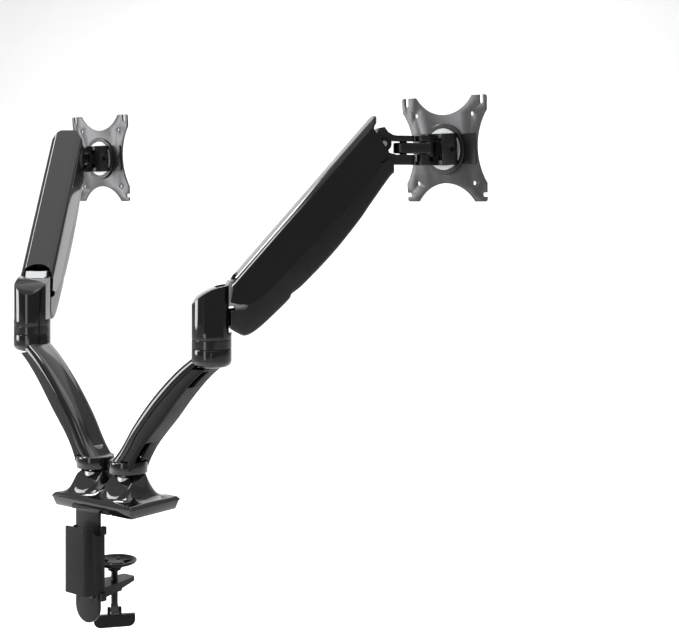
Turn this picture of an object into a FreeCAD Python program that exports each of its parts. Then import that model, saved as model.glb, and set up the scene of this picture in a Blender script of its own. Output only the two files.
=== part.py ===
"""Desk-clamp monitor arm for two displays.

Millimetres.  +X runs along the rear edge of the desk, +Y points to the
person at the desk, +Z is up.  The origin is on the desk surface, midway
between the two base swivels.  Both arms come from the same functions;
only the angles of their joints at rest differ.
"""
import FreeCAD, Part
import math
import os

Vec = FreeCAD.Vector

# ---------------------------------------------------------------- joints at rest
SWIVEL_SPACING = 52.0          # between the two base swivel axes
LOWER_REACH = 110.6            # base swivel to elbow, horizontally
LINK_REACH = 22.4              # pin to pin of the swivel link
FACE_REACH = 41.0              # head pin to the screen side of the plate
ARMS = {
    "right": dict(base_x=SWIVEL_SPACING / 2, lower=7.1, upper=48.6, link=48.9, head=86.9),
    "left": dict(base_x=-SWIVEL_SPACING / 2, lower=178.35, upper=125.2, link=125.0, head=87.2),
}
TILT_AT_REST = 3.6             # top of the plate leans away from the person

# ---------------------------------------------------------------- heights
COLLAR_Z = 41.9                # underside of the lower arm's hub
CUP_TOP = 181.9                # top of the lower arm's elbow cup
RING_TOP = 191.5
YOKE_Z = 191.9
HEAD_Z = 391.5                 # centre of the display plate

# ---------------------------------------------------------------- upper arm linkage
# Side view of the upper arm: (distance from the elbow axis, height).
PIN_GAP = 26.0                 # upper pivots stand this far above lower pivots
YOKE_PIVOT = (35.0, 236.0)
FORK_PIVOT = (181.0, 396.0)
PIVOT_RADIUS = 3.0
PIN_ONE = 205.0                # elbow axis to the first swivel pin
LIFT_AT_REST = math.degrees(math.atan2(FORK_PIVOT[1] - YOKE_PIVOT[1],
                                       FORK_PIVOT[0] - YOKE_PIVOT[0]))
SPRING_LEVER = 8.0             # spring foot below the upper yoke pivot
SPRING_REACH = 150.0           # upper yoke pivot to the spring's head pivot

# ---------------------------------------------------------------- sections
HUB_RADIUS = 21.0
WALL = 2.5
FIT = 0.05                     # radial clearance of a running fit
GAP = 0.4                      # between bodies that move past each other

PARTS = []


# ================================================================ helpers
def box(x0, x1, y0, y1, z0, z1):
    return Part.makeBox(x1 - x0, y1 - y0, z1 - z0, Vec(x0, y0, z0))


def rod(radius, start, end):
    axis = Vec(*end).sub(Vec(*start))
    return Part.makeCylinder(radius, axis.Length, Vec(*start), axis)


def tube(outer, inner, start, end):
    return rod(outer, start, end).cut(rod(inner, start, end))


def prism(profile, y0, y1):
    """A side-view outline (x, z), pushed from y0 to y1."""
    corners = [Vec(x, y0, z) for x, z in profile]
    face = Part.Face(Part.makePolygon(corners + [corners[0]]))
    return face.extrude(Vec(0, y1 - y0, 0))


def slab(outline, z0, z1):
    """A top-view outline (x, y), pushed from z0 to z1."""
    corners = [Vec(x, y, z0) for x, y in outline]
    face = Part.Face(Part.makePolygon(corners + [corners[0]]))
    return face.extrude(Vec(0, 0, z1 - z0))


def join(first, *others):
    solid = first
    for other in others:
        solid = solid.fuse(other)
    return solid.removeSplitter()


def drill(solid, *tools):
    for tool in tools:
        solid = solid.cut(tool)
    return solid


def smooth_wire(points):
    curve = Part.BSplineCurve()
    curve.interpolate([Vec(*p) for p in points], PeriodicFlag=True)
    return Part.Wire(curve.toShape())


def round_edges(solid, radius, wanted):
    """Fillet the edges whose middle point passes the test."""
    edges = []
    for edge in solid.Edges:
        middle = edge.valueAt((edge.FirstParameter + edge.LastParameter) / 2)
        if wanted(edge, middle):
            edges.append(edge)
    return solid.makeFillet(radius, edges)


def placed(shape, origin, degrees):
    matrix = FreeCAD.Matrix()
    matrix.rotateZ(math.radians(degrees))
    matrix.move(Vec(origin[0], origin[1], 0))
    moved = shape.copy()
    moved.transformShape(matrix, True)
    return moved


def keep(name, *solids):
    """Remember a named piece; several solids stay separate in one file."""
    PARTS.append((name, solids[0] if len(solids) == 1 else Part.Compound(list(solids))))


def step_from(origin, reach, degrees):
    angle = math.radians(degrees)
    return (origin[0] + reach * math.cos(angle), origin[1] + reach * math.sin(angle))


# ================================================================ base and clamp
RIM_BOTTOM = (120.0, 67.0)
RIM_TOP = (126.0, 73.0)
RIM_HEIGHT = 10.8
RIM_CENTRE_Y = 5.5
BOSS_TOP = 41.5
BOSS_RADIUS = 18.0
COVER_WALL = 2.8
POST_RADIUS = 8.0
FLANGE_HALF = 29.0
UPRIGHT_HALF = 17.5
UPRIGHT_Y = (-36.0, -31.5)
UPRIGHT_BOTTOM = -116.0
FLANGE_Z = (1.5, 6.0)
CASTING_TOP = 11.5
BASE_BOLTS = ((-14, -15), (-14, 21), (14, -15), (14, 21))
SCREW_Y = 4.0
SCREW_RADIUS = 4.0
JAW_TOP = -79.0
DISC_TOP = -57.2
HANDLE_ANGLE = 51.0
HANDLE_PIN_Z = -112.5
FOOT_RADIUS = 4.2              # end of the screw round the handle pin


def flare_section(centre_x, half_x, half_y, centre_y, squareness, z):
    """One level of the cover's trumpet: square-ish below, round above."""
    count = 32
    points = []
    for i in range(count):
        angle = 2 * math.pi * i / count
        cos, sin = math.cos(angle), math.sin(angle)
        x = half_x * math.copysign(abs(cos) ** (2 / squareness), cos)
        y = half_y * math.copysign(abs(sin) ** (2 / squareness), sin)
        points.append((centre_x + x, centre_y + y, z))
    return smooth_wire(points)


def flare(side, shrink, lower):
    """Trumpet from half of the rim to one round boss."""
    levels = 6
    foot_x = (RIM_TOP[0] / 2 + 6) / 2
    wires = []
    for i in range(levels):
        up = i / (levels - 1)
        spread = (1 - up) ** 2.1
        centre_x = side * (SWIVEL_SPACING / 2 * (1 - spread) + (RIM_TOP[0] / 2 - foot_x) * spread)
        half_x = BOSS_RADIUS + (foot_x - BOSS_RADIUS) * spread - shrink
        half_y = BOSS_RADIUS + (RIM_TOP[1] / 2 - BOSS_RADIUS) * spread - shrink
        squareness = 2.0 + 5.0 * (1 - up) ** 2
        z = RIM_HEIGHT + (BOSS_TOP - RIM_HEIGHT) * up - lower
        wires.append(flare_section(centre_x, half_x, half_y, RIM_CENTRE_Y * spread, squareness, z))
    return Part.makeLoft(wires, True, False)


def rim(shrink, z0, z1):
    wires = []
    for size, z in ((RIM_BOTTOM, z0), (RIM_TOP, z1)):
        hx = size[0] / 2 - shrink
        hy = size[1] / 2 - shrink
        corners = [Vec(sx * hx, RIM_CENTRE_Y + sy * hy, z)
                   for sx, sy in ((-1, -1), (1, -1), (1, 1), (-1, 1))]
        wires.append(Part.makePolygon(corners + [corners[0]]))
    return Part.makeLoft(wires, True, True)


def base_cover():
    shell = join(rim(0, 0.4, RIM_HEIGHT), flare(1, 0, 0), flare(-1, 0, 0))
    inside = join(rim(COVER_WALL, 0.3, RIM_HEIGHT - COVER_WALL),
                  flare(1, COVER_WALL, COVER_WALL), flare(-1, COVER_WALL, COVER_WALL),
                  box(-16, 16, -20.4, 26.4, 7.5, CASTING_TOP + 0.3))
    shell = shell.cut(inside)
    for side in (1, -1):
        x = side * SWIVEL_SPACING / 2
        shell = shell.cut(rod(POST_RADIUS + 4.5, (x, 0, 20), (x, 0, BOSS_TOP + 1)))
    rear_notch = box(-FLANGE_HALF - 0.3, FLANGE_HALF + 0.3, -40, -20, 0, FLANGE_Z[1] + 0.3)
    return shell.cut(rear_notch)


def base_casting():
    solid = box(-50, 50, -20, 26, FLANGE_Z[1] + 0.1, CASTING_TOP)
    for side in (1, -1):
        x = side * SWIVEL_SPACING / 2
        solid = join(solid, rod(12, (x, 0, 11), (x, 0, 38)), rod(POST_RADIUS, (x, 0, 38), (x, 0, 66)))
    for x, y in BASE_BOLTS:
        solid = solid.cut(rod(2.5 + FIT, (x, y, 5), (x, y, CASTING_TOP + 1)))
    return solid


def clamp_bracket():
    flange = box(-FLANGE_HALF, FLANGE_HALF, UPRIGHT_Y[1] + 6, 33, *FLANGE_Z)
    neck = box(-FLANGE_HALF, FLANGE_HALF, UPRIGHT_Y[1], UPRIGHT_Y[1] + 7, *FLANGE_Z)
    bend = box(-UPRIGHT_HALF, UPRIGHT_HALF, UPRIGHT_Y[0], UPRIGHT_Y[1] + 1, -10, FLANGE_Z[1])
    bend = round_edges(bend, 4.0, lambda e, m: m.y < UPRIGHT_Y[0] + 0.1 and m.z > FLANGE_Z[1] - 0.1)
    upright = box(-UPRIGHT_HALF, UPRIGHT_HALF, UPRIGHT_Y[0], UPRIGHT_Y[1], UPRIGHT_BOTTOM, -9)
    upright = round_edges(upright, UPRIGHT_HALF - 0.6,
                          lambda e, m: abs(abs(m.x) - UPRIGHT_HALF) < 0.1
                          and abs(m.z - UPRIGHT_BOTTOM) < 0.1)
    return join(flange, neck, bend, upright)


def lower_jaw():
    root = UPRIGHT_Y[1] + 0.1
    tip = 27.0
    wedge = prism([(root, JAW_TOP), (tip, JAW_TOP), (tip, JAW_TOP - 4.5),
                                  (root + 8, JAW_TOP - 11.5), (root, JAW_TOP - 12)], -15, 15)
    wedge.rotate(Vec(0, 0, 0), Vec(0, 0, 1), 90)
    outline = [(-15, root - 1), (15, root - 1), (15, -8), (9.5, tip), (-9.5, tip), (-15, -8)]
    plan = slab(outline, JAW_TOP - 14, JAW_TOP + 1)
    solid = wedge.common(plan)
    solid = join(solid, rod(8.5, (0, SCREW_Y, JAW_TOP - 12), (0, SCREW_Y, JAW_TOP - 3)))
    return solid.cut(rod(SCREW_RADIUS + FIT, (0, SCREW_Y, JAW_TOP - 20), (0, SCREW_Y, JAW_TOP + 1)))


def hex_head(radius, start, end):
    axis = Vec(*end).sub(Vec(*start))
    head = Part.Face(Part.makePolygon(
        [Vec(radius * math.cos(math.radians(60 * i)), radius * math.sin(math.radians(60 * i)), 0)
         for i in range(7)])).extrude(Vec(0, 0, axis.Length))
    turn = FreeCAD.Rotation(Vec(0, 0, 1), axis)
    head.Placement = FreeCAD.Placement(Vec(*start), turn)
    return head


def clip_outline(half_x, back_y, front_y, corner):
    """Top view of the cable clip: flat front, rounded back corners."""
    points = [(half_x, front_y)]
    for centre_x, first in ((half_x - corner, 0), (-(half_x - corner), -90)):
        for i in range(7):
            angle = math.radians(first - 15 * i)
            points.append((centre_x + corner * math.cos(angle),
                           back_y + corner + corner * math.sin(angle)))
    points.append((-half_x, front_y))
    return points


def cable_clip():
    top, bottom = -11.5, -82.5
    grip = UPRIGHT_Y[1] + 2.6
    outer = slab(clip_outline(20.4, -52.7, grip, 8.0), bottom, top)
    inner = slab(clip_outline(20.4 - 2.2, -50.5, grip + 1, 6.0), bottom - 1, top + 1)
    solid = outer.cut(inner)
    for side in (1, -1):
        hook_in = side * (UPRIGHT_HALF - 2.0)
        hook_out = side * 20.4
        low, high = sorted((hook_in, hook_out))
        solid = join(solid, box(low, high, UPRIGHT_Y[1] + 0.15, grip, bottom, top))
        rest_low, rest_high = sorted((side * 13.5, side * 18.4))
        solid = join(solid, box(rest_low, rest_high, UPRIGHT_Y[0] - 2.2, UPRIGHT_Y[0] - 0.15,
                                bottom, top))
    for low in (-90.5, -20.0):
        tab = box(18.3, 23.5, UPRIGHT_Y[0] + 1, grip, low, low + 8.5)
        solid = join(solid, tab)
    slot = box(-21, -17.9, -48, UPRIGHT_Y[0] - 2.3, bottom - 1, top + 1)
    swoop = rod(14, (14, -70, top + 2), (14, -36.5, top + 2))
    swoop = join(swoop, box(12, 24, -70, UPRIGHT_Y[0] + 0.9, top - 9, top + 2))
    solid = drill(solid, slot, swoop.common(box(0, 30, -70, UPRIGHT_Y[0] + 0.9, top - 9, top + 5)))
    return max(solid.Solids, key=lambda s: s.Volume)


def clamp_pad():
    """Dished disc that presses on the underside of the desk."""
    disc_bottom = DISC_TOP - 9.0
    profile = [(5.4, disc_bottom), (9, disc_bottom), (24.2, DISC_TOP - 3), (24.4, DISC_TOP - 1),
               (23.6, DISC_TOP), (21.5, DISC_TOP), (10.5, DISC_TOP - 4.4), (5.4, DISC_TOP - 4.4)]
    corners = [Vec(x, 0, z) for x, z in profile]
    face = Part.Face(Part.makePolygon(corners + [corners[0]]))
    return face.revolve(Vec(0, 0, 0), Vec(0, 0, 1), 360)


def clamp_screw():
    top = DISC_TOP - 2.2
    solid = rod(SCREW_RADIUS, (0, 0, HANDLE_PIN_Z - 2), (0, 0, top))
    solid = join(solid, rod(5.4 - FIT, (0, 0, DISC_TOP - 9.0), (0, 0, top)),
                 rod(8.6, (0, 0, DISC_TOP - 4.3), (0, 0, top)),
                 rod(7.2, (0, 0, DISC_TOP - 11.5), (0, 0, DISC_TOP - 9.1)),
                 box(-4.0, 4.0, -FOOT_RADIUS, FOOT_RADIUS, HANDLE_PIN_Z, HANDLE_PIN_Z + 6),
                 rod(FOOT_RADIUS, (-4.0, 0, HANDLE_PIN_Z), (4.0, 0, HANDLE_PIN_Z)))
    return solid.cut(rod(1.5 + FIT, (-8, 0, HANDLE_PIN_Z), (8, 0, HANDLE_PIN_Z)))


def clamp_handle():
    top, bottom = HANDLE_PIN_Z - 5.0, HANDLE_PIN_Z - 18.5
    blade = prism([(-22.5, top), (22.5, top - 0.5), (22.8, bottom + 7), (17, bottom + 0.6),
                   (-17, bottom), (-22.5, bottom + 6)], -3.2, 3.2)
    blade = round_edges(blade, 1.2, lambda e, m: abs(abs(m.y) - 3.2) < 0.01)
    solid = blade
    for side in (1, -1):
        low, high = sorted((side * 4.4, side * 7.6))
        ear = join(box(low, high, -3.0, 3.0, top - 2, HANDLE_PIN_Z),
                   rod(3.4, (low, 0, HANDLE_PIN_Z), (high, 0, HANDLE_PIN_Z)))
        solid = join(solid, ear)
    return solid.cut(rod(1.5 + FIT, (-9, 0, HANDLE_PIN_Z), (9, 0, HANDLE_PIN_Z)))


def make_base():
    keep("base_cover", base_cover())
    keep("base_casting", base_casting())
    pad = box(-56, 56, -20, 36, 0, 1.4)
    keep("desk_pad", pad)
    bracket = clamp_bracket()
    bolts = []
    for x, y in BASE_BOLTS:
        head = rod(4.6, (x, y, CASTING_TOP + 0.1), (x, y, CASTING_TOP + 3.5))
        bolts.append(join(head, rod(2.5, (x, y, FLANGE_Z[0] + 0.2), (x, y, CASTING_TOP + 0.5))))
        bracket = bracket.cut(rod(2.5 + FIT, (x, y, 0), (x, y, 8)))
    jaw = lower_jaw()
    jaw_bolts = []
    for x in (-9, 9):
        z = JAW_TOP - 6
        jaw_bolts.append(join(hex_head(4.2, (x, UPRIGHT_Y[0] - 2.6, z), (x, UPRIGHT_Y[0] - 0.05, z)),
                              rod(2.5, (x, UPRIGHT_Y[0] - 1, z), (x, UPRIGHT_Y[1] + 7, z))))
        hole = rod(2.5 + FIT, (x, -40, z), (x, UPRIGHT_Y[1] + 7.5, z))
        bracket = bracket.cut(hole)
        jaw = jaw.cut(hole)
    keep("clamp_bracket", bracket)
    keep("base_bolts", *bolts)
    keep("lower_jaw", jaw)
    keep("jaw_bolts", *jaw_bolts)
    keep("cable_clip", cable_clip())
    keep("clamp_pad", placed(clamp_pad(), (0, SCREW_Y), 0))
    keep("clamp_screw", placed(clamp_screw(), (0, SCREW_Y), HANDLE_ANGLE))
    keep("clamp_handle", placed(clamp_handle(), (0, SCREW_Y), HANDLE_ANGLE))
    pin = rod(1.5, (-7.8, 0, HANDLE_PIN_Z), (7.8, 0, HANDLE_PIN_Z))
    keep("handle_pin", placed(pin, (0, SCREW_Y), HANDLE_ANGLE))


# ================================================================ lower arm
# Crown line of the lower arm in side view and the matching underside.
CROWN = ((-17, 52), (-2, 70), (16, 97), (36, 122), (56, 143), (75, 160), (93, 173), (112, 186))
UNDER = ((15, 45), (21, 58), (33, 76), (57, 103), (77, 127), (96, 147), (114, 162), (131, 174))
ARM_HALF = 17.5
CROWN_DROP = 13.0              # from the crown line to the side edge
# Long windows in the underside: middle in side view, and slope in degrees.
CABLE_WINDOWS = ((27.5, 66.5, 57.0), (100.0, 149.5, 43.7))
WINDOW_Y = (-14.0, -3.0)


def arm_section(crown, under, half, inset, drop_from, drop_to):
    """Cross-section of the lower arm between two depths below the crown."""
    depth = Vec(under[0] - crown[0], 0, under[1] - crown[1])
    total = depth.Length
    down = Vec(depth.x / total, 0, depth.z / total)

    def at(y, d):
        return Vec(crown[0] + down.x * d, y, crown[1] + down.z * d)

    if drop_from == 0:
        steps = 8
        arch = []
        for i in range(steps + 1):
            angle = math.pi * i / steps
            arch.append(at(-(half - inset) * math.cos(angle),
                           drop_to - (drop_to - inset) * math.sin(angle)))
        curve = Part.BSplineCurve()
        curve.interpolate(arch)
        return Part.Wire([curve.toShape(), Part.makeLine(arch[-1], arch[0])])
    wide = half - inset
    low = total - inset
    narrow = wide - 4
    points = [at(-wide, drop_from), at(wide, drop_from), at(wide, low - 4), at(narrow, low),
              at(-narrow, low), at(-wide, low - 4)]
    return Part.makePolygon(points + [points[0]])


def arm_loft(half, inset, drop_from, drop_to):
    wires = [arm_section(c, u, half, inset, drop_from, drop_to) for c, u in zip(CROWN, UNDER)]
    return Part.makeLoft(wires, True, False)


def lower_arm_parts(frame):
    hub = rod(HUB_RADIUS, (0, 0, COLLAR_Z), (0, 0, 56))
    hub = round_edges(hub, 2.0, lambda e, m: abs(m.z - 56) < 0.1 and e.Length > 50)
    cup = rod(HUB_RADIUS, (LOWER_REACH, 0, 163), (LOWER_REACH, 0, CUP_TOP))
    cup = round_edges(cup, 6.0, lambda e, m: abs(m.z - 163) < 0.1 and e.Length > 50)
    arch = arm_loft(ARM_HALF, 0, 0, CROWN_DROP)
    below_cup = box(-60, 180, -40, 40, -10, CUP_TOP)
    above_hub = box(-60, 180, -40, 40, COLLAR_Z, 400)
    arch = arch.common(below_cup).common(above_hub)
    beam = join(arch.cut(arm_loft(ARM_HALF, WALL, 0, CROWN_DROP + 0.01)), hub, cup)
    post_hole = rod(POST_RADIUS + FIT, (0, 0, 40), (0, 0, 66.4))
    beam = drill(beam, post_hole)
    beam = max(beam.Solids, key=lambda s: s.Volume)
    elbow_hole = rod(7.0, (LOWER_REACH, 0, 166), (LOWER_REACH, 0, 190))
    skirt = arm_loft(ARM_HALF, 0, CROWN_DROP + 0.2, 99)
    cavity = arm_loft(ARM_HALF, WALL, CROWN_DROP + 0.1, 99)
    skirt = skirt.cut(cavity).common(below_cup)
    skirt = drill(skirt, rod(HUB_RADIUS + 0.2, (0, 0, 30), (0, 0, 57)),
                  rod(HUB_RADIUS + 0.2, (LOWER_REACH, 0, 162), (LOWER_REACH, 0, 200)), post_hole)
    beam = beam.cut(elbow_hole)
    for x, z, slope in CABLE_WINDOWS:
        window = box(x - 14, x + 14, *WINDOW_Y, z - 5, z + 5)
        window.rotate(Vec(x, 0, z), Vec(0, 1, 0), -slope)
        skirt = skirt.cut(window)
    skirt = max(skirt.Solids, key=lambda s: s.Volume)
    post = join(rod(7.0, (LOWER_REACH, 0, 166), (LOWER_REACH, 0, 214)),
                rod(9.5, (LOWER_REACH, 0, 214), (LOWER_REACH, 0, 217)))
    ring = tube(HUB_RADIUS, 7.0 + FIT, (LOWER_REACH, 0, CUP_TOP + 0.2), (LOWER_REACH, 0, RING_TOP))
    side, origin, angle = frame
    keep("lower_arm_beam_" + side, placed(beam, origin, angle))
    keep("lower_arm_cable_cover_" + side, placed(skirt, origin, angle))
    keep("elbow_post_" + side, placed(post, origin, angle))
    keep("elbow_ring_" + side, placed(ring, origin, angle))


# ================================================================ elbow yoke
YOKE_FLAT = 18.3
YOKE_FRONT = 16.6
TONGUE_HALF = 12.2
SLOT_HALF = 6.0
LUG_RADIUS = 8.6               # round the lower pivot, inside the sweep of the shell's heel


def yoke_parts(frame):
    side, origin, angle = frame
    foot = rod(HUB_RADIUS, (0, 0, YOKE_Z), (0, 0, 199))
    tower = rod(HUB_RADIUS, (0, 0, 198), (0, 0, 250))
    tower = tower.common(box(-30, YOKE_FRONT, -YOKE_FLAT, YOKE_FLAT, 190, 260))
    roof = prism([(-30, 190), (-30, 225), (-21, 229), (-12, 238), (-3, 243.5), (6, 246.5),
                  (14, 248), (30, 249), (30, 190)], -30, 30)
    body = join(foot, tower.common(roof))
    hollow = box(-14.5, YOKE_FRONT + 5, -14.5, 14.5, YOKE_Z + 3, 241)
    hollow = hollow.common(prism([(-30, 190), (-30, 223), (-12, 234), (0, 240), (30, 245), (30, 190)],
                                 -30, 30))
    mouth = box(5, YOKE_FRONT + 5, -TONGUE_HALF - 0.3, TONGUE_HALF + 0.3, YOKE_Z + 8, 260)
    cover = drill(body, hollow, mouth, rod(7 + FIT, (0, 0, 180), (0, 0, 200)))
    cover = max(cover.Solids, key=lambda s: s.Volume)
    px, pz = YOKE_PIVOT
    low = pz - PIN_GAP
    lug = []
    for i in range(7):
        turn = math.radians(180 + 30 * i)
        lug.append((px + LUG_RADIUS * math.cos(turn), low + LUG_RADIUS * math.sin(turn)))
    tongue = prism([(6, pz - 10), (px - 12, pz - 9.5), (px - LUG_RADIUS, low + 9)] + lug
                   + [(px + 8, pz - 4), (px + 6, pz + 10), (px - 4, pz + 17), (18, pz + 17),
                      (12, pz + 4), (6, pz - 2)], -TONGUE_HALF, TONGUE_HALF)
    core = join(box(-13, 14, -12, 12, YOKE_Z + 3.2, 222), box(5, 14, -12, 12, 221, pz), tongue)
    core = drill(core, rod(7 + FIT, (0, 0, 180), (0, 0, 230)), rod(9.8, (0, 0, 213.7), (0, 0, 230)),
                 box(20, 60, -SLOT_HALF, SLOT_HALF, 190, 262))
    pins = []
    for x, z in ((px, pz), (px, low)):
        core = core.cut(rod(PIVOT_RADIUS + FIT, (x, -20, z), (x, 20, z)))
        for turn in (1, -1):
            ends = sorted((turn * (SLOT_HALF + 0.2), turn * 15.2))
            pins.append(rod(PIVOT_RADIUS, (x, ends[0], z), (x, ends[1], z)))
    foot_z = pz - SPRING_LEVER
    core = core.cut(rod(2.4 + FIT, (px, -9, foot_z), (px, 9, foot_z)))
    pins.append(rod(2.4, (px, -8.8, foot_z), (px, 8.8, foot_z)))
    keep("yoke_cover_" + side, placed(cover, origin, angle))
    keep("yoke_core_" + side, placed(core, origin, angle))
    keep("yoke_pins_" + side, *[placed(p, origin, angle) for p in pins])


# ================================================================ upper arm
COVER_HALF = 19.5
COVER_SIDE = 1.8
COVER_CHAMFER = 4.5
MOUTH_BACK = -5.0              # centre and radius of the cover's arched lower mouth
MOUTH_RADIUS = 15.5
SHELL_HALF = 17.3
SHELL_SIDE = 1.7
LINK_HALF = 15.2
LINK_SHEET = 2.4
LINK_TOP = 15.0
TOP_LINE = ((17.2, 250.5), (172, 426), (181, 415))
SEAM = ((184.5, 388), (171, 367.5), (133, 322), (95, 282), (54, 240), (40, 231), (29, 228.5), (17.5, 231))
BELLY = ((18.4, 203), (25, 199), (34, 196), (48, 204), (69, 223), (80, 234), (82, 238.5), (95, 249),
         (127, 282), (154, 315), (166, 332), (187, 361), (191.5, 365), (191.5, 374))


def along(distance, rise, start=YOKE_PIVOT):
    """A point in side view, along and above the line of the upper arm."""
    tilt = math.radians(LIFT_AT_REST)
    return (start[0] + distance * math.cos(tilt) - rise * math.sin(tilt),
            start[1] + distance * math.sin(tilt) + rise * math.cos(tilt))


def roof_rise(distance):
    """Height of the cover's flat top above the line of the upper arm."""
    return 22.92 + 0.0171 * distance


def cover_core(half, drop, near=-40.0, far=240.0):
    """Room under the cover's roof, as wide as `half` either side."""
    return prism([along(near, roof_rise(near) - drop), along(far, roof_rise(far) - drop),
                  along(far, -60), along(near, -60)], -half, half)


def top_cover():
    near, far = -40.0, 240.0
    shell = prism(list(TOP_LINE) + list(SEAM), -COVER_HALF, COVER_HALF)
    shell = shell.cut(cover_core(COVER_HALF - COVER_SIDE, 2.2 + COVER_CHAMFER))
    shell = shell.cut(cover_core(COVER_HALF - COVER_CHAMFER - 1.0, 2.2))
    for side in (1, -1):
        base = along(near, roof_rise(near))
        low = along(near, roof_rise(near) - COVER_CHAMFER - 1.0)
        high = along(near, roof_rise(near) + 1.0)
        corners = [Vec(high[0], side * (COVER_HALF - COVER_CHAMFER - 1.0), high[1]),
                   Vec(high[0], side * (COVER_HALF + 1.0), high[1]),
                   Vec(low[0], side * (COVER_HALF + 1.0), low[1])]
        tip = along(far, roof_rise(far))
        wedge = Part.Face(Part.makePolygon(corners + [corners[0]]))
        shell = shell.cut(wedge.extrude(Vec(tip[0] - base[0], 0, tip[1] - base[1])))
    mouth = along(MOUTH_BACK, 0)
    above = along(MOUTH_BACK, 60)
    shell = shell.cut(rod(MOUTH_RADIUS, (mouth[0], 0, mouth[1]), (above[0], 0, above[1])))
    return max(shell.Solids, key=lambda s: s.Volume)


def upper_link():
    reach = math.hypot(FORK_PIVOT[0] - YOKE_PIVOT[0], FORK_PIVOT[1] - YOKE_PIVOT[1])
    bar = prism([along(0, -7), along(reach, -7), along(reach, 8), along(reach - 30, LINK_TOP),
                 along(24, LINK_TOP), along(0, 8)], -LINK_HALF, LINK_HALF)
    eyes = [rod(8, (x, -LINK_HALF, z), (x, LINK_HALF, z)) for x, z in (YOKE_PIVOT, FORK_PIVOT)]
    solid = join(bar, *eyes)
    under = LINK_TOP - LINK_SHEET
    channel = prism([along(-30, -30), along(reach + 30, -30), along(reach + 30, under),
                     along(-30, under)], -LINK_HALF + LINK_SHEET, LINK_HALF - LINK_SHEET)
    solid = solid.cut(channel)
    holes = [YOKE_PIVOT, FORK_PIVOT, along(SPRING_REACH, 0)]
    for x, z in holes:
        solid = solid.cut(rod(PIVOT_RADIUS + FIT, (x, -20, z), (x, 20, z)))
    return max(solid.Solids, key=lambda s: s.Volume)


def lower_shell():
    start = (YOKE_PIVOT[0], YOKE_PIVOT[1] - PIN_GAP)
    end = (FORK_PIVOT[0], FORK_PIVOT[1] - PIN_GAP)
    reach = math.hypot(end[0] - start[0], end[1] - start[1])
    rim_line = [(end[0] + 6, end[1] + 10), along(reach - 8, 9, start), along(reach - 26, 14, start),
                along(24, 14, start), along(10, 9, start), (start[0] - 8, start[1] + 13),
                (BELLY[0][0], start[1] + 12)]
    outline = list(BELLY) + rim_line
    outer = prism(outline, -SHELL_HALF, SHELL_HALF)
    drop = 2.4
    inner_line = [(x - 0.7 * drop, z + 0.75 * drop) for x, z in BELLY[1:-1]]
    inner = prism([(10, 203 + drop)] + inner_line + [(200, 362), (205, 420), (10, 330)],
                  -SHELL_HALF + SHELL_SIDE, SHELL_HALF - SHELL_SIDE)
    solid = outer.cut(inner)
    for x, z in (start, end):
        for side in (1, -1):
            low, high = sorted((side * (TONGUE_HALF + 0.4), side * (SHELL_HALF - 0.5)))
            solid = join(solid, rod(6.0, (x, low, z), (x, high, z)))
        solid = solid.cut(rod(PIVOT_RADIUS + FIT, (x, -15.4, z), (x, 15.4, z)))
    return max(solid.Solids, key=lambda s: s.Volume)


def gas_spring():
    head = along(SPRING_REACH, 0)
    foot = (YOKE_PIVOT[0], YOKE_PIVOT[1] - SPRING_LEVER)
    length = math.hypot(head[0] - foot[0], head[1] - foot[1])
    steer = math.atan2(head[1] - foot[1], head[0] - foot[0])

    def on_axis(distance):
        return (foot[0] + distance * math.cos(steer), 0, foot[1] + distance * math.sin(steer))

    barrel_end = 62.0
    barrel = join(rod(9.5, on_axis(barrel_end), on_axis(length - 9)),
                  rod(4.6, on_axis(length - 11), on_axis(length)),
                  rod(6.3, (head[0], -6.5, head[1]), (head[0], 6.5, head[1])),
                  rod(PIVOT_RADIUS, (head[0], -15.2, head[1]), (head[0], 15.2, head[1])))
    barrel = barrel.cut(rod(8.0, on_axis(barrel_end + 4), on_axis(length - 14)))
    barrel = barrel.cut(rod(3.5 + FIT, on_axis(barrel_end - 1), on_axis(barrel_end + 5)))
    piston = join(rod(3.5, on_axis(5), on_axis(88)), rod(8.0 - FIT, on_axis(88), on_axis(94)),
                  rod(6.2, (foot[0], -4.5, foot[1]), (foot[0], 4.5, foot[1])))
    piston = piston.cut(rod(2.4 + 1.6, (foot[0], -6, foot[1]), (foot[0], 6, foot[1])))
    return barrel, piston


def upper_arm_parts(frame):
    side, origin, angle = frame
    barrel, piston = gas_spring()
    for name, shape in (("upper_arm_link", upper_link()), ("upper_arm_cover", top_cover()),
                        ("lower_arm_link", lower_shell()), ("gas_spring_cylinder", barrel),
                        ("gas_spring_rod", piston)):
        keep(name + "_" + side, placed(shape, origin, angle))


# ================================================================ fork, link, knuckle
UPPER_EAR = (399.1, 405.0)
LOWER_EAR = (374.0, 384.7)
LINK_Z = (386.3, 397.5)
LINK_END = 10.7
EAR_END = 12.3
SWIVEL_PIN = 4.0
HEAD_EARS = ((399.1, 405.3), (373.4, 385.6))
HEAD_EAR_HALF = 9.5


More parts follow.
